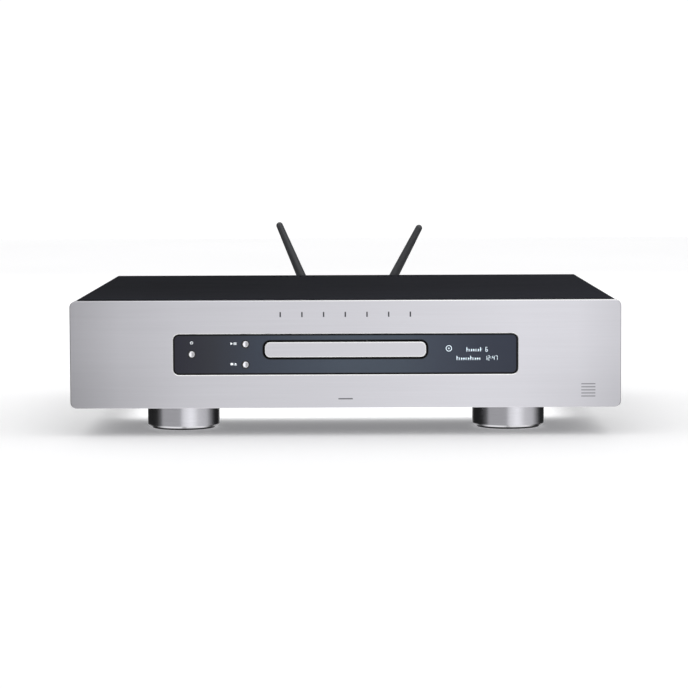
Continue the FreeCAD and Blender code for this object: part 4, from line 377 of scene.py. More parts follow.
def brushed_aluminium(name, grain=1.0, marks=None, painted_light=None, edge=None, level=1.0):
    """Satin metal with long streaks along X, each a little lighter or rougher, and dark engraved marks.

    A painted-light table paints a reflection along the fascia, and a little shade on its lower corners.
    An edge is a mask of the polished bevels, on which a highlight is painted."""
    finish = Finish(name, Metallic=1.0)
    colour = scaled(colours().aluminium, level)
    fine = finish.noise(finish.stretched(14, 14, 2600 * grain), 1.0, 6.0, 0.65)
    long_streak = finish.noise(finish.stretched(9, 9, 420 * grain), 1.0, 4.0, 0.6)
    cloud = finish.noise(finish.stretched(7, 7, 22), 1.0, 3.0)
    shade = (fine - 0.5) * 0.26 + (long_streak - 0.5) * 0.22 + (cloud - 0.5) * 0.14 + 0.5
    bright = finish.mix(shade, scaled(colour, 0.80), scaled(colour, 1.16))
    rough = (fine - 0.5) * 0.16 + (long_streak - 0.5) * 0.08 + 0.36
    height = fine * 0.7 + long_streak * 0.3
    if painted_light:
        stops = [(place, (lightness,) * 3) for place, lightness in painted_light]
        # Painted reflection: the fascia's colour is made lighter or darker along its width.
        along = finish.node("ShaderNodeValToRGB", {"stops": stops}, Fac=finish.x / PANEL_WIDE + 0.5)
        bright = finish.times(bright, along)
        bottom = low("front_panel").z
        # Painted shade: the lower corners at both ends are darkened a little.
        corner = finish.x.maths("ABSOLUTE").smooth(0.09, 0.21)
        corner = corner * (1 - finish.z.smooth(bottom, bottom + 0.06))
        bright = finish.mix(corner * 0.14, bright, (0, 0, 0))
    if edge:
        # Painted highlight: the bevels are mixed towards white; their lower roughness is real polish.
        polished = edge(finish)
        bright = finish.mix(polished, bright, (1.0, 1.0, 1.0))
        rough = rough - polished * 0.12
    if marks:
        mask = marks(finish)
        bright = finish.mix(mask, bright, (0.09, 0.09, 0.10))
        rough = rough + mask * 0.2
        height = height - mask * 2.5
    finish.feed("Base Color", bright)
    finish.feed("Roughness", rough)
    finish.bump(height, 0.35, 0.00002)
    return finish.material


# How far the window runs behind the fascia, and the corners of its outline and of the tray's front.
WINDOW_FLANGE = 3.15 * MM
WINDOW_CORNER = 7.75 * MM
TRAY_CORNER = 4.2 * MM


def opening_edge_highlight(finish):
    """The polished bevel round the fascia's opening, and the one along its top: masks for a painted
    highlight.
    """
    outside = finish.outline("display_window", WINDOW_CORNER) + WINDOW_FLANGE
    top = high("front_panel").z
    along_top = finish.z.smooth(top - 0.75 * MM, top - 0.55 * MM)
    along_top = along_top * finish.x.smooth(-0.12, 0.03) * 0.9
    return (1 - outside.smooth(0.55 * MM, 0.85 * MM)).maths("MAXIMUM", along_top)


def tray_edge_highlight(finish):
    """The polished bevel round the tray's front, a mask for a painted highlight."""
    return finish.outline("tray_front", TRAY_CORNER).smooth(-1.0 * MM, -0.7 * MM)


def fascia_marks(finish):
    """Engraved marks: seven short upright bars at the top, a thin rule at the foot, a small grille."""

    def patch(x, z, wide, tall, soft):
        """1 in a rectangle about x, z, with half sizes wide and tall."""
        across = finish.x.between(x - wide, x + wide, 0.15 * MM)
        return across * finish.z.between(z - tall, z + tall, soft)

    pitch, bar = 16.9 * MM, 1.1 * MM
    row = PANEL_MIDDLE + 31.1 * MM
    across = (finish.x + pitch * 20.5).repeat(pitch)
    across = across.between(pitch / 2 - bar / 2, pitch / 2 + bar / 2, 0.12 * MM)
    bars = across * patch(0, row, 3.5 * pitch, 2 * MM, 0.12 * MM)
    rule = patch(0, PANEL_MIDDLE - 34.9 * MM, 5.6 * MM, 0.5 * MM, 0.1 * MM)
    side, rise = 189.5 * MM, PANEL_MIDDLE - 28.6 * MM
    lines = (finish.z - (rise - 30 * MM)).repeat(2.4 * MM).between(0.8 * MM, 1.5 * MM, 0.1 * MM)
    grille = lines * patch(side, rise, 5.5 * MM, 6.6 * MM, 0.15 * MM)
    front = finish.y.below(PANEL_FACE + 0.3 * MM)
    return (bars + rule * 0.8 + grille * 0.7).maths("MINIMUM", 1.0) * front


def turned_aluminium(name, centres, axis="z", level=1.0):
    """Metal from a lathe: fine rings round each axis, read from the radius and the height along it."""
    finish = Finish(name, Metallic=1.0)
    colour = scaled(colours().aluminium, level)
    others = [c for c in "xyz" if c != axis]
    nearest, *rest = (finish.radius(first, second, *others) for first, second in centres)
    for radius in rest:
        nearest = nearest.maths("MINIMUM", radius)
    cut = ((nearest + getattr(finish, axis) * 0.73) * 9000).maths("SINE") * 0.5 + 0.5
    stretch = (60, 60, 900) if axis == "z" else (400, 60, 400)
    wander = finish.noise(finish.stretched(*stretch), 1.0)
    shade = cut * 0.16 + wander * 0.5 + 0.12
    finish.feed("Base Color", finish.mix(shade, scaled(colour, 0.82), scaled(colour, 1.1)))
    finish.feed("Roughness", wander * 0.10 + 0.12)
    finish.bump(cut * 0.6 + wander * 0.4, 0.2, 0.00001)
    return finish.material


def powder_coat(name, grain=1.0, rough=0.5):
    """Baked powder coat: a pebbled skin with slight changes of gloss, and painted sheen to the right and
    front.
    """
    finish = Finish(name, Specular_IOR_Level=0.10)
    pebble = finish.noise(finish.place, 1500 * grain, 3.0, 0.5)
    larger = finish.noise(finish.place, 420 * grain, 2.0)
    dust = finish.noise(finish.place, 18, 3.0)
    colour = colours().coat
    # Painted sheen: the coat is made paler towards the front, and in the next line towards the right.
    front_painted_sheen = 1 - finish.y.smooth(PANEL_FACE, PANEL_FACE + 0.2)
    shade = pebble * 0.4 + dust * 0.3 + finish.x.smooth(-0.15, 0.24) * 0.45 + front_painted_sheen * 0.3
    finish.feed("Base Color", finish.mix(shade, scaled(colour, 0.5), scaled(colour, 1.7)))
    finish.feed("Roughness", (pebble - 0.5) * 0.2 + (dust - 0.5) * 0.1 + rough)
    finish.bump(pebble * 0.7 + larger * 0.6, 0.45, 0.00006)
    return finish.material


# The window's colour from its left end, 0, to its right, 1: a painted reflection, lightest near the
# middle.
WINDOW_PAINTED_REFLECTION = (
    (0.0, (0.003, 0.002, 0.014)),
    (0.12, (0.015, 0.017, 0.027)),
    (0.25, (0.027, 0.038, 0.062)),
    (0.50, (0.051, 0.071, 0.102)),
    (0.66, (0.045, 0.064, 0.094)),
    (0.76, (0.030, 0.043, 0.072)),
    (0.88, (0.013, 0.021, 0.045)),
    (1.0, (0.006, 0.013, 0.036)),
)


def smoked_acrylic():
    """Dark polished acrylic, a painted reflection at its middle, painted shade in its gaps, faint wipe
    marks.
    """
    finish = Finish("smoked_acrylic", IOR=1.5, Coat_Roughness=0.03)
    left, right = low("display_window").x, high("display_window").x
    along = (finish.x - left) / (right - left)
    # Painted reflection: dark at the window's ends and lighter in its middle.
    window_painted_reflection = finish.node("ShaderNodeValToRGB", {"stops": WINDOW_PAINTED_REFLECTION}, Fac=along)
    depth = finish.noise(finish.stretched(3, 3, 9), 1.0, 2.0)
    wipe = finish.noise(finish.stretched(40, 40, 14), 1.0, 5.0, 0.65)
    clouded = finish.mix(depth * 0.35, window_painted_reflection, tuple(colours().window))
    # Painted shade: near black in the gaps round the window's edge and round the tray's front.
    outer = finish.outline("display_window", WINDOW_CORNER).smooth(-4.75 * MM, -4.2 * MM)
    inner = 1 - finish.outline("tray_front", TRAY_CORNER).smooth(1.5 * MM, 2.0 * MM)
    rim_gap_shade = outer.maths("MAXIMUM", inner)
    finish.feed("Base Color", finish.mix(rim_gap_shade, clouded, (0.0, 0.0, 0.001)))
    finish.feed("Roughness", wipe * 0.07 + rim_gap_shade * 0.8 + 0.08)
    finish.bump(wipe, 0.04, 0.00002)
    return finish.material


def moulded(name, colour, rough=0.45, grain=900.0, depth=0.00004):
    """Moulded plastic with a spark-eroded texture and a little unevenness in its gloss."""
    finish = Finish(name)
    skin = finish.noise(finish.place, grain, 3.0)
    broad = finish.noise(finish.place, 40, 2.0)
    shade = skin * 0.5 + broad * 0.5
    finish.feed("Base Color", finish.mix(shade, scaled(colour, 0.8), scaled(colour, 1.2)))
    finish.feed("Roughness", (skin - 0.5) * 0.16 + (broad - 0.5) * 0.12 + rough)
    finish.bump(skin, 0.3, depth)
    return finish.material


def soft_rubber(name):
    """Matt rubber with a dusty bloom."""
    finish = Finish(name)
    bloom = finish.noise(finish.place, 260, 5.0, 0.7)
    finish.feed("Base Color", finish.mix(bloom, (0.010, 0.010, 0.011), (0.035, 0.035, 0.036)))
    finish.feed("Roughness", bloom * 0.2 + 0.68)
    finish.bump(bloom, 0.4, 0.00006)
    return finish.material


def plated_steel(name, colour=(0.62, 0.61, 0.58), rough=0.3):
    """Zinc plate: a cool mottled sheen with spangles and rolling marks, dulled by its skin of oxide."""
    finish = Finish(name, Metallic=0.7)
    spangle = finish.node("ShaderNodeTexVoronoi", {}, Vector=finish.place, Scale=260.0)
    rolled = finish.noise(finish.stretched(30, 900, 30), 1.0, 4.0)
    shade = spangle * 0.5 + rolled * 0.4
    finish.feed("Base Color", finish.mix(shade, scaled(colour, 0.75), scaled(colour, 1.2)))
    finish.feed("Roughness", rolled * 0.18 + rough - 0.08)
    finish.bump(rolled, 0.2, 0.00002)
    return finish.material


def gold_plate(name):
    """Bright gold plate with faint turning lines."""
    finish = Finish(name, Metallic=1.0)
    line = (finish.y * 14000).maths("SINE") * 0.5 + 0.5
    haze = finish.noise(finish.place, 300, 3.0)
    finish.feed("Base Color", finish.mix(haze, (0.78, 0.52, 0.18), (0.95, 0.70, 0.30)))
    finish.feed("Roughness", haze * 0.12 + 0.16)
    finish.bump(line, 0.2, 0.00003)
    return finish.material


def circuit_board(name):
    """Green solder mask over copper tracks that run square and slanted, with tinned pads and print."""
    finish = Finish(name)
    warp = finish.noise(finish.stretched(1, 1, 0), 46, 1.0) * 0.012
    along_x = ((finish.x + warp) / (1.9 * MM)).repeat(1.0).between(0.3, 0.62, 0.05)
    along_y = ((finish.y + warp) / (2.3 * MM)).repeat(1.0).between(0.3, 0.6, 0.05)
    zone = finish.noise(finish.stretched(1, 1, 0), 70, 0.0).smooth(0.46, 0.5)
    chosen = along_x * zone + along_y * (1 - zone)
    spots = finish.node("ShaderNodeTexVoronoi", {}, Vector=finish.stretched(1, 1, 0), Scale=190.0)
    pads = spots.below(0.14)
    mask = finish.mix(chosen, (0.006, 0.045, 0.022), (0.014, 0.085, 0.04))
    finish.feed("Base Color", finish.mix(pads, mask, (0.55, 0.55, 0.52)))
    finish.feed("Metallic", pads * 0.9)
    finish.feed("Roughness", pads * 0.05 + 0.3)
    finish.bump(chosen * 0.6 + pads, 0.5, 0.00005)
    return finish.material


def wound_copper():
    """A taped winding: overlapping turns of wire round the ring, under clear tape."""
    finish = Finish("wound_copper", Coat_Roughness=0.2)
    centre = middle("transformer_coil")
    turn = finish.angle(centre.x, centre.y) / (2 * math.pi)
    lean = finish.radius(centre.x, centre.y) * 3.0
    wires = ((turn + lean) * 220 * math.pi).maths("SINE") * 0.5 + 0.5
    tape = (turn * 16 + lean).repeat(1.0).smooth(0.0, 0.16)
    patch = finish.noise(finish.place, 90, 3.0)
    copper = finish.mix(wires * 0.6 + patch * 0.4, (0.20, 0.06, 0.015), (0.62, 0.24, 0.07))
    finish.feed("Base Color", finish.mix(tape, (0.42, 0.30, 0.06), copper))
    finish.feed("Roughness", patch * 0.2 + 0.25)
    finish.feed("Metallic", tape * 0.5)
    finish.bump(wires * 0.6 + tape, 0.6, 0.0003)
    return finish.material


def capacitor_sleeve():
    """Dark shrink sleeve with a pale stripe, and a bare aluminium top."""
    finish = Finish("capacitor_sleeve")
    tall_top, short_top = high("filter_capacitors").z, high("main_board").z + 22 * MM
    bare = finish.z.above(tall_top - 0.7 * MM)
    bare = bare + finish.z.between(short_top - 0.7 * MM, short_top + 0.1 * MM, 0.05 * MM)
    stripe = (finish.x / (23 * MM)).repeat(1.0).between(0.78, 0.93, 0.02)
    stripe = stripe * finish.y.below(low("main_board").y + 30 * MM)
    grain = finish.noise(finish.place, 400, 3.0)
    sleeve = finish.mix(grain, (0.008, 0.010, 0.022), (0.018, 0.022, 0.045))
    sleeve = finish.mix(stripe * 0.8, sleeve, (0.35, 0.36, 0.36))
    finish.feed("Base Color", finish.mix(bare, sleeve, (0.75, 0.75, 0.76)))
    finish.feed("Metallic", bare.maths("MINIMUM", 1.0))
    finish.feed("Roughness", grain * 0.12 + 0.24)
    finish.bump(grain, 0.2, 0.00003)
    return finish.material


def flat_cable():
    """Grey ribbon of parallel wires with one coloured edge."""
    finish = Finish("flat_cable")
    wires = ((finish.x / (1.27 * MM)) * 2 * math.pi).maths("SINE") * 0.5 + 0.5
    dust = finish.noise(finish.place, 200, 3.0)
    shade = wires * 0.7 + dust * 0.3
    finish.feed("Base Color", finish.mix(shade, (0.20, 0.20, 0.21), (0.45, 0.45, 0.46)))
    finish.feed("Roughness", dust * 0.15 + 0.42)
    finish.bump(wires, 0.6, 0.0003)
    return finish.material


def lit(name, colour, strength):
    """A lit legend, a little uneven as a printed mask is."""
    finish = Finish(name, Roughness=0.4, Emission_Strength=strength)
    uneven = finish.noise(finish.place, 900, 3.0)
    finish.feed("Base Color", finish.mix(uneven, scaled(colour, 0.85), tuple(colour)))
    finish.feed("Emission Color", finish.mix(uneven, scaled(colour, 0.8), tuple(colour)))
    return finish.material


def coated_lens():
    """The pickup's lens in its moulded holder: violet glass at the middle and matt black round it."""
    finish = Finish("coated_lens", IOR=1.6)
    centre = middle("pickup_lens")
    glass = finish.radius(centre.x, centre.y).below(2.6 * MM)
    glass = glass * finish.z.above(high("pickup_lens").z - 1.4 * MM)
    skin = finish.noise(finish.place, 900, 3.0)
    body = finish.mix(skin, (0.012, 0.012, 0.013), (0.03, 0.03, 0.032))
    finish.feed("Base Color", finish.mix(glass, body, (0.05, 0.03, 0.16)))
    finish.feed("Roughness", 0.5 - glass * 0.45)
    finish.feed("Coat Weight", glass)
    return finish.material


# ---- Flat symbols ---------------------------------------------------------------------------------


def strip(path, width, closed=False):
    """A ribbon along a path of (x, z) points: each point moves half the width to either side.

    The side of point i is the tangent there, from its neighbours, turned a quarter."""
    path = np.asarray(path, float)
    if closed:
        tangent = np.roll(path, -1, axis=0) - np.roll(path, 1, axis=0)
    else:
        tangent = np.gradient(path, axis=0)
    tangent /= np.linalg.norm(tangent, axis=1)[:, None]
    side = np.stack([-tangent[:, 1], tangent[:, 0]], axis=1) * width / 2
    points = np.stack([path + side, path - side], axis=1).reshape(-1, 2)
    return points, grid_faces(len(path), 2, wrap_rows=closed)


def arc(centre, radius, start, end, steps=40):
    """Points at equal angles, in degrees, on a circle about (x, z)."""
    turn = np.radians(np.linspace(start, end, steps))
    return np.asarray(centre) + radius * np.stack([np.cos(turn), np.sin(turn)], axis=1)


def wedge(corners, steps=6):
    """A filled triangle: a grid from the points a + (b - a) * t of its first side to its last corner."""
    a, b, c = (np.asarray(corner, float) for corner in corners)
    side = a + (b - a) * np.linspace(0, 1, steps)[:, None]
    points = np.stack([side, np.broadcast_to(c, side.shape)], axis=1).reshape(-1, 2)
    return points, grid_faces(steps, 2)


def on_front(shapes, y, thick):
    """Flat (x, z) shapes as thin closed plates whose faces are at y - thick and y."""
    points, faces = joined(*shapes)
    front = np.stack([points[:, 0], np.full(len(points), y - thick), points[:, 1]], axis=1)
    back = front + (0, thick, 0)
    return np.concatenate([front, back]), np.concatenate([faces, faces[:, ::-1] + len(points)])


def window_print(name, shapes, thick, material):
    """Flat shapes as one piece that is printed on the window."""
    mesh_piece(name, *on_front(shapes, WINDOW_FACE, thick), ROOT, material, "display_window")


# Each segment's ends, across and up, in half heights, and the segments that each digit lights.
SEGMENTS = {
    "a": ((0, 2), (1, 2)),
    "b": ((1, 2), (1, 1)),
    "c": ((1, 1), (1, 0)),
    "d": ((0, 0), (1, 0)),
    "e": ((0, 1), (0, 0)),
    "f": ((0, 2), (0, 1)),
    "g": ((0, 1), (1, 1)),
}
DIGITS = {
    "0": "abcdef", "1": "bc", "2": "abged", "3": "abgcd", "4": "fgbc",
    "5": "afgcd", "6": "afgedc", "7": "abc", "8": "abcdefg", "9": "abcdfg",
}


def number_shapes(text, left, base, tall):
    """Seven-segment digits in a row: each lit segment is a short ribbon, and a colon is two dots."""
    shapes, x = [], left
    for sign in text:
        if sign == ":":
            for level in (base + 0.3 * tall, base + 0.7 * tall):
                shapes.append(strip([(x - 0.06 * tall, level), (x + 0.06 * tall, level)], 0.12 * tall))
            x += 0.34 * tall
            continue
        for segment in DIGITS[sign]:
            ends = np.array(SEGMENTS[segment], float) * (0.44 * tall, 0.5 * tall) + (x, base)
            shorter = ends + (ends[::-1] - ends) * 0.08
            shapes.append(strip(shorter, 0.10 * tall))
        x += 0.72 * tall
    return shapes


def meter_shapes(count, left, base, tall):
    """A row of upright ticks like a level meter: the first and every sixth after it are full height."""
    step = 0.54 * tall
    shapes = []
    for i in range(count):
        height = tall if i % 6 == 0 else 0.62 * tall
        x = left + i * step
        shapes.append(strip([(x, base), (x, base + height)], 0.14 * tall))
        if i % 3 != 1:
            level = base + 0.55 * height
            shapes.append(strip([(x, level), (x + 0.6 * step, level)], 0.10 * tall))
    return shapes


# ---- Pieces ---------------------------------------------------------------------------------------


class PieceOperator:
    """What every operator of the player shares."""

    bl_options = {"REGISTER", "UNDO"}

    @property
    def sizes(self):
        """The sizes of the small pieces that the scene holds."""
        return bpy.context.scene.player_sizes


class PLAYER_OT_case(PieceOperator, bpy.types.Operator):
    """Finish the fascia, cover, base, back, screws, feet and pads"""

    bl_idname = "player.case"
    bl_label = "Case"

    def execute(self, context):
        fascia = {"marks": fascia_marks, "painted_light": FASCIA_PAINTED_REFLECTION, "edge": opening_edge_highlight, "level": 1.05}
        paint(brushed_aluminium("fascia_aluminium", **fascia), "front_panel")
        paint(powder_coat("cover_coat"), "top_cover")
        paint(powder_coat("chassis_coat", grain=0.8, rough=0.55), "chassis_base", "front_subframe")
        paint(powder_coat("back_coat", grain=1.2, rough=0.46), "rear_panel")
        paint(moulded("screw_black", (0.02, 0.02, 0.022), 0.35, 500), "cover_screws")
        paint(plated_steel("screw_zinc"), "chassis_screws")
        paint(turned_aluminium("foot_aluminium", foot_centres(), level=0.85), "feet")
        paint(soft_rubber("foot_rubber"), "foot_pads")
        return {"FINISHED"}


FOOT_RADIUS = 29 * MM


def foot_centres():
    """The (x, y) axes of the three feet, from the box that holds them: two in front and one behind."""
    corner, far, radius = low("feet"), high("feet"), FOOT_RADIUS
    return [
        (corner.x + radius, corner.y + radius),
        (far.x - radius, corner.y + radius),
        (0.0, far.y - radius),
    ]


BUTTONS = ("standby_button", "play_button", "stop_button")


class PLAYER_OT_front(PieceOperator, bpy.types.Operator):
    """Finish the window, the tray's front and the buttons"""

    bl_idname = "player.front"
    bl_label = "Front"

    def execute(self, context):
        paint(smoked_acrylic(), "display_window")
        paint(brushed_aluminium("tray_aluminium", grain=1.3, edge=tray_edge_highlight), "tray_front")
        for name in BUTTONS:
            axes = [(middle(name).x, middle(name).z)]
            paint(turned_aluminium(f"{name}_aluminium", axes, axis="y", level=1.15), name)
        module = moulded("display_module_black", (0.01, 0.011, 0.013), 0.12, 300, 0.00001)
        paint(module, "display_module")
        paint(circuit_board("front_board_mask"), "front_boards")
        return {"FINISHED"}


class PLAYER_OT_button_gap_shade(PieceOperator, bpy.types.Operator):
    """Add a black ring round each button's hole in the window, as painted shade for the gap round it"""

    bl_idname = "player.button_rings"
    bl_label = "Button rings"

    def execute(self, context):
        # Painted shade: black rings stand where the gap round each button lies in shade.
        material = moulded("ring_painted_shade", (0.008, 0.008, 0.009), 0.3, 600, 0.00001)
        for name in BUTTONS:
            centre = middle(name)
            where = (centre.x, WINDOW_FACE, centre.z)
            points, faces = revolved(self.profile(), where, (0, 1, 0))
            mesh_piece(name.replace("button", "ring"), points, faces, ROOT, material, "display_window")
        return {"FINISHED"}

    @staticmethod
    def profile():
        """A ring's profile: half an ellipse (mid - half * cos t, -thick * sin t) that stands off the
        window, and a flat bottom a little below its face."""
        inner, outer, thick, sunk = 2.56 * MM, 3.25 * MM, 0.22 * MM, 0.15 * MM
        turn = np.linspace(0, np.pi, 9)
        mid, half = (inner + outer) / 2, (outer - inner) / 2
        crown = np.stack([mid - half * np.cos(turn), -thick * np.sin(turn)], axis=1)
        return np.concatenate([crown, [[outer, sunk], [inner, sunk]]])


class PLAYER_OT_symbols(PieceOperator, bpy.types.Operator):
    """Add the lit symbols by the buttons"""

    bl_idname = "player.symbols"
    bl_label = "Button symbols"

    def execute(self, context):
        material = lit("legend_white", (0.82, 0.86, 0.9), 0.75)
        tall, thick = self.sizes.symbol, self.sizes.print_depth
        standby = middle("standby_button")
        centre = (standby.x, standby.z + 9.1 * MM)
        radius = 0.5 * tall
        stroke = tall * 0.16
        bar = [(centre[0], centre[1] + 0.1 * tall), (centre[0], centre[1] + radius + 0.12 * tall)]
        symbols = {"standby": [strip(arc(centre, radius, 125, 415), stroke), strip(bar, stroke)]}
        for name, draw in (("play", self.play_marks), ("stop", self.stop_marks)):
            button = middle(f"{name}_button")
            symbols[name] = draw(button.x - 11.6 * MM, button.z + 0.5 * MM, tall)
        for name, shapes in symbols.items():
            window_print(f"{name}_symbol", shapes, thick, material)
        return {"FINISHED"}

    @staticmethod
    def play_marks(x, z, tall):
        """A play triangle, a slash and two pause bars."""
        half = tall / 2
        return [
            wedge([(x, z - half), (x, z + half), (x + 0.8 * tall, z)]),
            strip([(x + 1.02 * tall, z - half), (x + 1.28 * tall, z + half)], 0.1 * tall),
            strip([(x + 1.65 * tall, z - half), (x + 1.65 * tall, z + half)], 0.24 * tall),
            strip([(x + 2.1 * tall, z - half), (x + 2.1 * tall, z + half)], 0.24 * tall),
        ]

    @staticmethod
    def stop_marks(x, z, tall):
        """A stop square, a slash and an eject mark."""
        half = tall / 2
        return [
            strip([(x + 0.4 * tall, z - 0.42 * tall), (x + 0.4 * tall, z + 0.42 * tall)], 0.84 * tall),
            strip([(x + 1.02 * tall, z - half), (x + 1.28 * tall, z + half)], 0.1 * tall),
            wedge([
                (x + 1.45 * tall, z - 0.08 * tall), (x + 2.35 * tall, z - 0.08 * tall),
                (x + 1.9 * tall, z + half),
            ]),
            strip([(x + 1.45 * tall, z - 0.36 * tall), (x + 2.35 * tall, z - 0.36 * tall)], 0.2 * tall),
        ]


class PLAYER_OT_display(PieceOperator, bpy.types.Operator):
    """Add the display's disc symbol, level meters and digits"""

    bl_idname = "player.display"
    bl_label = "Display digits"

    def execute(self, context):
        material = lit("display_glow", colours().legend, 0.85)
        tall, thick = self.sizes.digit, self.sizes.print_depth
        mid = middle("display_module").x
        disc = (mid - 21.3 * MM, PANEL_MIDDLE + 4.2 * MM)
        ring = [
            strip(arc(disc, 2.15 * MM, 0, 360, 65)[:-1], 0.42 * MM, closed=True),
            strip(arc(disc, 0.45 * MM, 0, 360, 33)[:-1], 0.30 * MM, closed=True),
        ]
        window_print("display_disc_symbol", ring, thick, material)
        level = PANEL_MIDDLE + 1.7 * MM
        upper = meter_shapes(7, mid - 7.3 * MM, level, tall)
        upper += number_shapes("6", mid + 7.4 * MM, level, tall)
        window_print("display_upper_digits", upper, thick, material)
        level = PANEL_MIDDLE - 5.0 * MM
        lower = meter_shapes(11, mid - 15.0 * MM, level, tall)
        lower += number_shapes("12:47", mid + 6.8 * MM, level, tall)
        window_print("display_lower_digits", lower, thick, material)
        return {"FINISHED"}


class PLAYER_OT_loader(PieceOperator, bpy.types.Operator):
    """Finish the tray, its frame, the drive, the traverse and the pickup"""

    bl_idname = "player.loader"
    bl_label = "Loader"

    def execute(self, context):
        black = colours().moulding
        paint(moulded("tray_black", black, 0.42, 700), "disc_tray")
        paint(moulded("loader_black", scaled(black, 1.3), 0.5, 500), "loader_frame", "tilt_frame")
        gears = ("drive_gear", "pulley_gear", "motor_pulley", "cam_slider", "sled_gear", "sled_pinion")
        paint(moulded("acetal", (0.72, 0.70, 0.64), 0.38, 600, 0.00001), *gears)
        paint(plated_steel("motor_can"), "loading_motor", "spindle_motor", "sled_motor")
        sheet = ("traverse_plate", "clamp_bridge", "transformer_mount")
        paint(plated_steel("zinc_sheet", (0.66, 0.65, 0.60), 0.36), *sheet)
        paint(plated_steel("ground_rod", (0.75, 0.75, 0.76), 0.16), "guide_rods")
        paint(soft_rubber("belt_rubber"), "drive_belt", "damper_grommets")
        paint(moulded("turntable_black", scaled(black, 1.2), 0.36, 800), "turntable", "clamper")
        paint(moulded("sled_black", scaled(black, 1.6), 0.4, 600), "pickup_sled")
        paint(coated_lens(), "pickup_lens")
        return {"FINISHED"}


class PLAYER_OT_electronics(PieceOperator, bpy.types.Operator):
    """Finish the boards, the transformer and what stands on them"""

    bl_idname = "player.electronics"
    bl_label = "Electronics"

    def execute(self, context):
        paint(circuit_board("board_mask"), "main_board", "power_board")
        paint(moulded("chip_black", (0.02, 0.02, 0.021), 0.4, 900), "board_parts")
        paint(moulded("sink_anodised", (0.05, 0.05, 0.055), 0.35, 300), "board_metalwork")
        paint(capacitor_sleeve(), "filter_capacitors")
        paint(wound_copper(), "transformer_coil")
        paint(flat_cable(), "ribbon_cables")
        paint(gold_plate("standoff_brass"), "standoffs")
        return {"FINISHED"}


class PLAYER_OT_sockets(PieceOperator, bpy.types.Operator):
    """Finish the sockets at the back and the aerials"""

    bl_idname = "player.sockets"
    bl_label = "Sockets and aerials"

    def execute(self, context):
        black = colours().moulding
        black_sockets = ("iec_inlet", "mains_switch", "optical_socket", "trigger_jacks")
        paint(moulded("inlet_black", black, 0.4, 700), *black_sockets)
        paint(moulded("rocker_black", black, 0.22, 300, 0.00001), "mains_rocker")
        nickel = plated_steel("socket_nickel", (0.5, 0.5, 0.5), 0.3)
        paint(nickel, "xlr_sockets", "usb_socket", "lan_socket")
        paint(gold_plate("phono_gold"), "rca_jacks", "antenna_sockets")
        aerial = moulded("aerial_black", (0.058, 0.060, 0.065), 0.36, 1100, 0.00003)
        paint(aerial, "left_antenna", "right_antenna", "left_antenna_knuckle", "right_antenna_knuckle")
        return {"FINISHED"}


# Each phono jack's axis, x and z in millimetres, and its collar's colour.
PHONOS = {
    "white": (112, 63, (0.75, 0.75, 0.73)),
    "red": (112, 42, (0.55, 0.02, 0.02)),
    "amber": (86, 42, (0.6, 0.28, 0.02)),
}
# Half a section of a collar in millimetres: the radius, and the distance behind the back.
COLLAR = ((4.22, 1.62), (5.2, 1.62), (5.75, 2.0), (5.75, 2.9), (5.3, 3.3), (4.22, 3.3))
# Each group of sockets: its middle, x and z, and the width and height of its frame, in millimetres.
SOCKET_GROUPS = {
    "balanced": (162, 52, 72, 40),
    "phono": (99, 52.5, 42, 40),
    "data": (40.5, 44, 48, 24),
    "control": (-13, 44, 32, 20),
}


class PLAYER_OT_back_rings(PieceOperator, bpy.types.Operator):
    """Add the coloured collars of the phono jacks and the printed frames round the sockets"""

    bl_idname = "player.back_rings"
    bl_label = "Back details"

    def execute(self, context):
        for name, (x, z, colour) in PHONOS.items():
            material = moulded(f"collar_{name}", colour, 0.35, 600, 0.00001)
            where = (x * MM, BACK_FACE, z * MM)
            points, faces = revolved(np.array(COLLAR) * MM, where, (0, 1, 0), 56)
            mesh_piece(f"phono_collar_{name}", points, faces, ROOT, material, "rca_jacks")
        self.frames()
        return {"FINISHED"}

    @staticmethod
    def frames():
        """Thin printed outlines round the groups of sockets, each a closed round-cornered ribbon."""
        ink = moulded("print_white", (0.6, 0.6, 0.6), 0.6, 900, 0.00001)
        thick, corner, line = 0.05 * MM, 4 * MM, 0.45 * MM
        shapes = []
        for group in SOCKET_GROUPS.values():
            path = rounded_path(*(size * MM for size in group), corner)
            shapes.append(strip(path, line, closed=True))
        mesh_piece("back_print", *on_front(shapes, BACK_FACE + thick, thick), ROOT, ink, "rear_panel")


def rounded_path(x, z, wide, tall, radius, steps=8):
    """The outline of a rectangle with round corners: four quarter circles, joined by its sides."""
    quarters = []
    for i, j, start in ((1, 1, 0), (-1, 1, 90), (-1, -1, 180), (1, -1, 270)):
        centre = (x + i * (wide / 2 - radius), z + j * (tall / 2 - radius))
        quarters.append(arc(centre, radius, start, start + 90, steps))
    return np.concatenate(quarters)


# ---- Stage ----------------------------------------------------------------------------------------


AMBIENT = 0.97  # what matt surfaces see of the room
WHITE_ROOM = 1.06  # what the camera sees of it
STEEP_LIGHT = 1.15  # what polished surfaces see of it, straight up and down
BACK_LIGHT = 0.5  # and low behind
# And all round, by degrees: the back is at -180 and 180, the left at -90, the front at 0.
SOFT_BOX = (
    (-180, 0.02), (-116, 0.02), (-92, 0.03), (-76, 0.16), (-66, 0.50), (-20, 0.50), (-8, 0.52),
    (-2, 0.82), (4, 1.00), (14, 1.12), (26, 1.26), (38, 1.10), (52, 0.80), (82, 0.66), (98, 0.30),
    (114, 0.06), (126, 0.02), (180, 0.02),
)
LENS = 137.548  # focal length in millimetres, for a sensor 36 wide
CAMERA_PLACE = (4.84 * MM, PANEL_FACE - 2043.5 * MM, 230.1 * MM)
PITCH, ROLL, YAW = -0.0772, 0.0040, 0.0029  # radians, from level and straight ahead


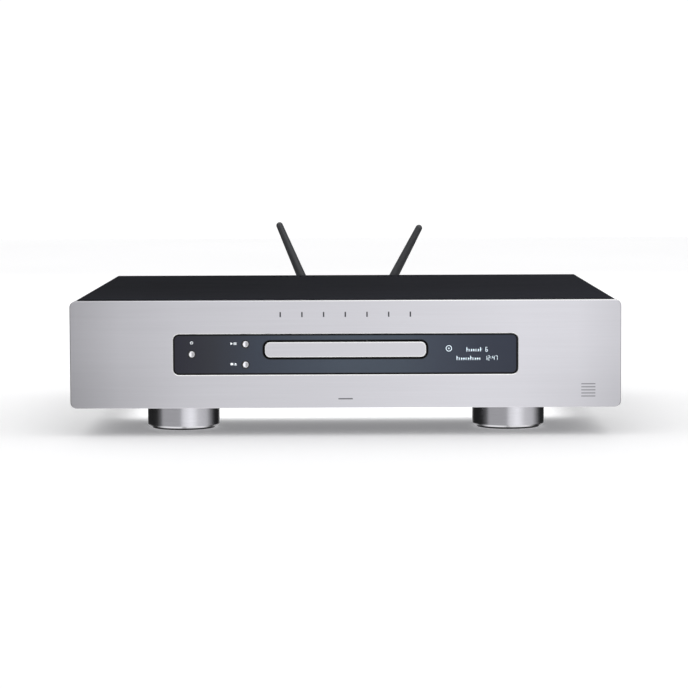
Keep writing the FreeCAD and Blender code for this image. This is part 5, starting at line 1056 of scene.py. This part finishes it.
class PLAYER_OT_stage(PieceOperator, bpy.types.Operator):
    """Add the floor, the lights and the camera"""

    bl_idname = "player.stage"
    bl_label = "Stage"

    def execute(self, context):
        scene = context.scene
        self.floor()
        self.world(scene)
        self.light(scene, "behind", (0, 1.7, 1.2), (0, -0.3, 0), 1.8, 6)
        self.light(scene, "above", (0.3, 0.1, 2.4), (0, 0, 0), 1.6, 1.2)
        below_base, away = low("chassis_base").z - 1 * MM, PANEL_FACE + 0.235
        under = self.light(scene, "under", (0, away, below_base), (0, away, 0), 0.36, 0.36)
        under.shape, under.size_y = "RECTANGLE", 0.2
        self.camera(scene)
        scene.view_settings.view_transform = "Standard"
        return {"FINISHED"}

    @staticmethod
    def camera(scene):
        """A camera a little above the player, which looks along +Y at its front."""
        camera = bpy.data.cameras.new("camera")
        camera.lens, camera.sensor_width, camera.clip_end = LENS, 36, 50
        seat = bpy.data.objects.new("camera", camera)
        place = Matrix.Translation(CAMERA_PLACE)
        for angle, axis in ((YAW, "Z"), (PITCH, "X"), (ROLL, "Y"), (math.pi / 2, "X")):
            place = place @ Matrix.Rotation(angle, 4, axis)
        seat.matrix_world = place
        scene.collection.objects.link(seat)
        scene.camera = seat

    @staticmethod
    def floor():
        """A wide white floor just below height 0, which glows a little to keep its shadows light."""
        count = 41
        side = np.linspace(-4, 4, count)
        x, y = np.meshgrid(side, side, indexing="ij")
        points = np.stack([x, y, np.full_like(x, -0.2 * MM)], axis=-1).reshape(-1, 3)
        finish = Finish("floor_white", Specular_IOR_Level=0.1, Emission_Strength=1.0)
        cloud = finish.noise(finish.place, 2.0, 2.0)
        finish.feed("Base Color", finish.mix(cloud, (0.85, 0.85, 0.853), (0.87, 0.87, 0.87)))
        finish.feed("Emission Color", finish.mix(cloud, (0.195, 0.195, 0.20), (0.205, 0.205, 0.21)))
        finish.feed("Roughness", cloud * 0.05 + 0.6)
        faces = grid_faces(count, count)[:, ::-1]
        floor = mesh_piece("floor", points, faces, None, finish.material)
        floor.visible_glossy = False

    @staticmethod
    def world(scene):
        """A white room for the eye, with even light for matt surfaces and a soft box to reflect.

        The box's brightness depends on the compass direction, except straight up, straight down and low
        behind, where it has a level of its own."""
        world = bpy.data.worlds.new("room")
        world.use_nodes = True
        room = Maker(world.node_tree)
        across, away, up = room.parts(room.node("ShaderNodeTexCoord", {}, output="Generated"))
        azimuth = across.maths("ARCTAN2", away * -1)
        stops = [((degrees + 180) / 360, (level, level, level * 1.02)) for degrees, level in SOFT_BOX]
        box = room.node("ShaderNodeValToRGB", {"stops": stops}, Fac=azimuth / (2 * math.pi) + 0.5)
        steep = up.maths("ABSOLUTE").smooth(0.62, 0.88)
        box = room.mix(steep, box, (STEEP_LIGHT,) * 3)
        behind = azimuth.maths("ABSOLUTE").smooth(2.65, 2.85) * (1 - up.smooth(-0.14, -0.02))
        box = room.mix(behind, box, (BACK_LIGHT,) * 3)
        seen = room.node("ShaderNodeLightPath", {}, output="Is Camera Ray")
        glossy = room.node("ShaderNodeLightPath", {}, output="Is Glossy Ray")
        light = room.mix(glossy, (AMBIENT,) * 3, box)
        colour = room.mix(seen, light, (WHITE_ROOM,) * 3)
        background = world.node_tree.nodes["Background"]
        plug(room.tree, colour, background.inputs["Color"])
        background.inputs["Strength"].default_value = 1.0
        scene.world = world

    @staticmethod
    def light(scene, name, place, target, size, power):
        """A soft light of that size that faces its target, and that polished surfaces don't reflect."""
        lamp = bpy.data.lights.new(name, "AREA")
        lamp.size = size
        lamp.energy = power
        holder = bpy.data.objects.new(name, lamp)
        holder.location = place
        facing = Vector(target) - Vector(place)
        holder.rotation_euler = facing.to_track_quat("-Z", "Y").to_euler()
        holder.visible_glossy = False
        scene.collection.objects.link(holder)
        return lamp


class PLAYER_PT_panel(bpy.types.Panel):
    """The player's sizes, finishes and operators"""

    bl_idname = "PLAYER_PT_panel"
    bl_label = "Disc player"
    bl_space_type = "VIEW_3D"
    bl_region_type = "UI"
    bl_category = "Disc player"

    def draw(self, context):
        for group in (context.scene.player_finishes, context.scene.player_sizes):
            for name in group.__annotations__:
                self.layout.prop(group, name)
        for operator in OPERATORS:
            self.layout.operator(operator.bl_idname)


OPERATORS = (
    PLAYER_OT_case,
    PLAYER_OT_front,
    PLAYER_OT_button_gap_shade,
    PLAYER_OT_symbols,
    PLAYER_OT_display,
    PLAYER_OT_loader,
    PLAYER_OT_electronics,
    PLAYER_OT_sockets,
    PLAYER_OT_back_rings,
    PLAYER_OT_stage,
)
CLASSES = (PlayerFinishes, PlayerSizes, *OPERATORS, PLAYER_PT_panel)


def register():
    """Registers the classes and hangs their properties on the scene."""
    for cls in CLASSES:
        bpy.utils.register_class(cls)
    bpy.types.Scene.player_finishes = bpy.props.PointerProperty(type=PlayerFinishes)
    bpy.types.Scene.player_sizes = bpy.props.PointerProperty(type=PlayerSizes)


def unregister():
    """Undoes register()."""
    del bpy.types.Scene.player_sizes
    del bpy.types.Scene.player_finishes
    for cls in reversed(CLASSES):
        bpy.utils.unregister_class(cls)


def main():
    """Makes the player."""
    register()
    for operator in OPERATORS:
        group, name = operator.bl_idname.split(".")
        getattr(getattr(bpy.ops, group), name)()


if __name__ == "__main__":
    main()
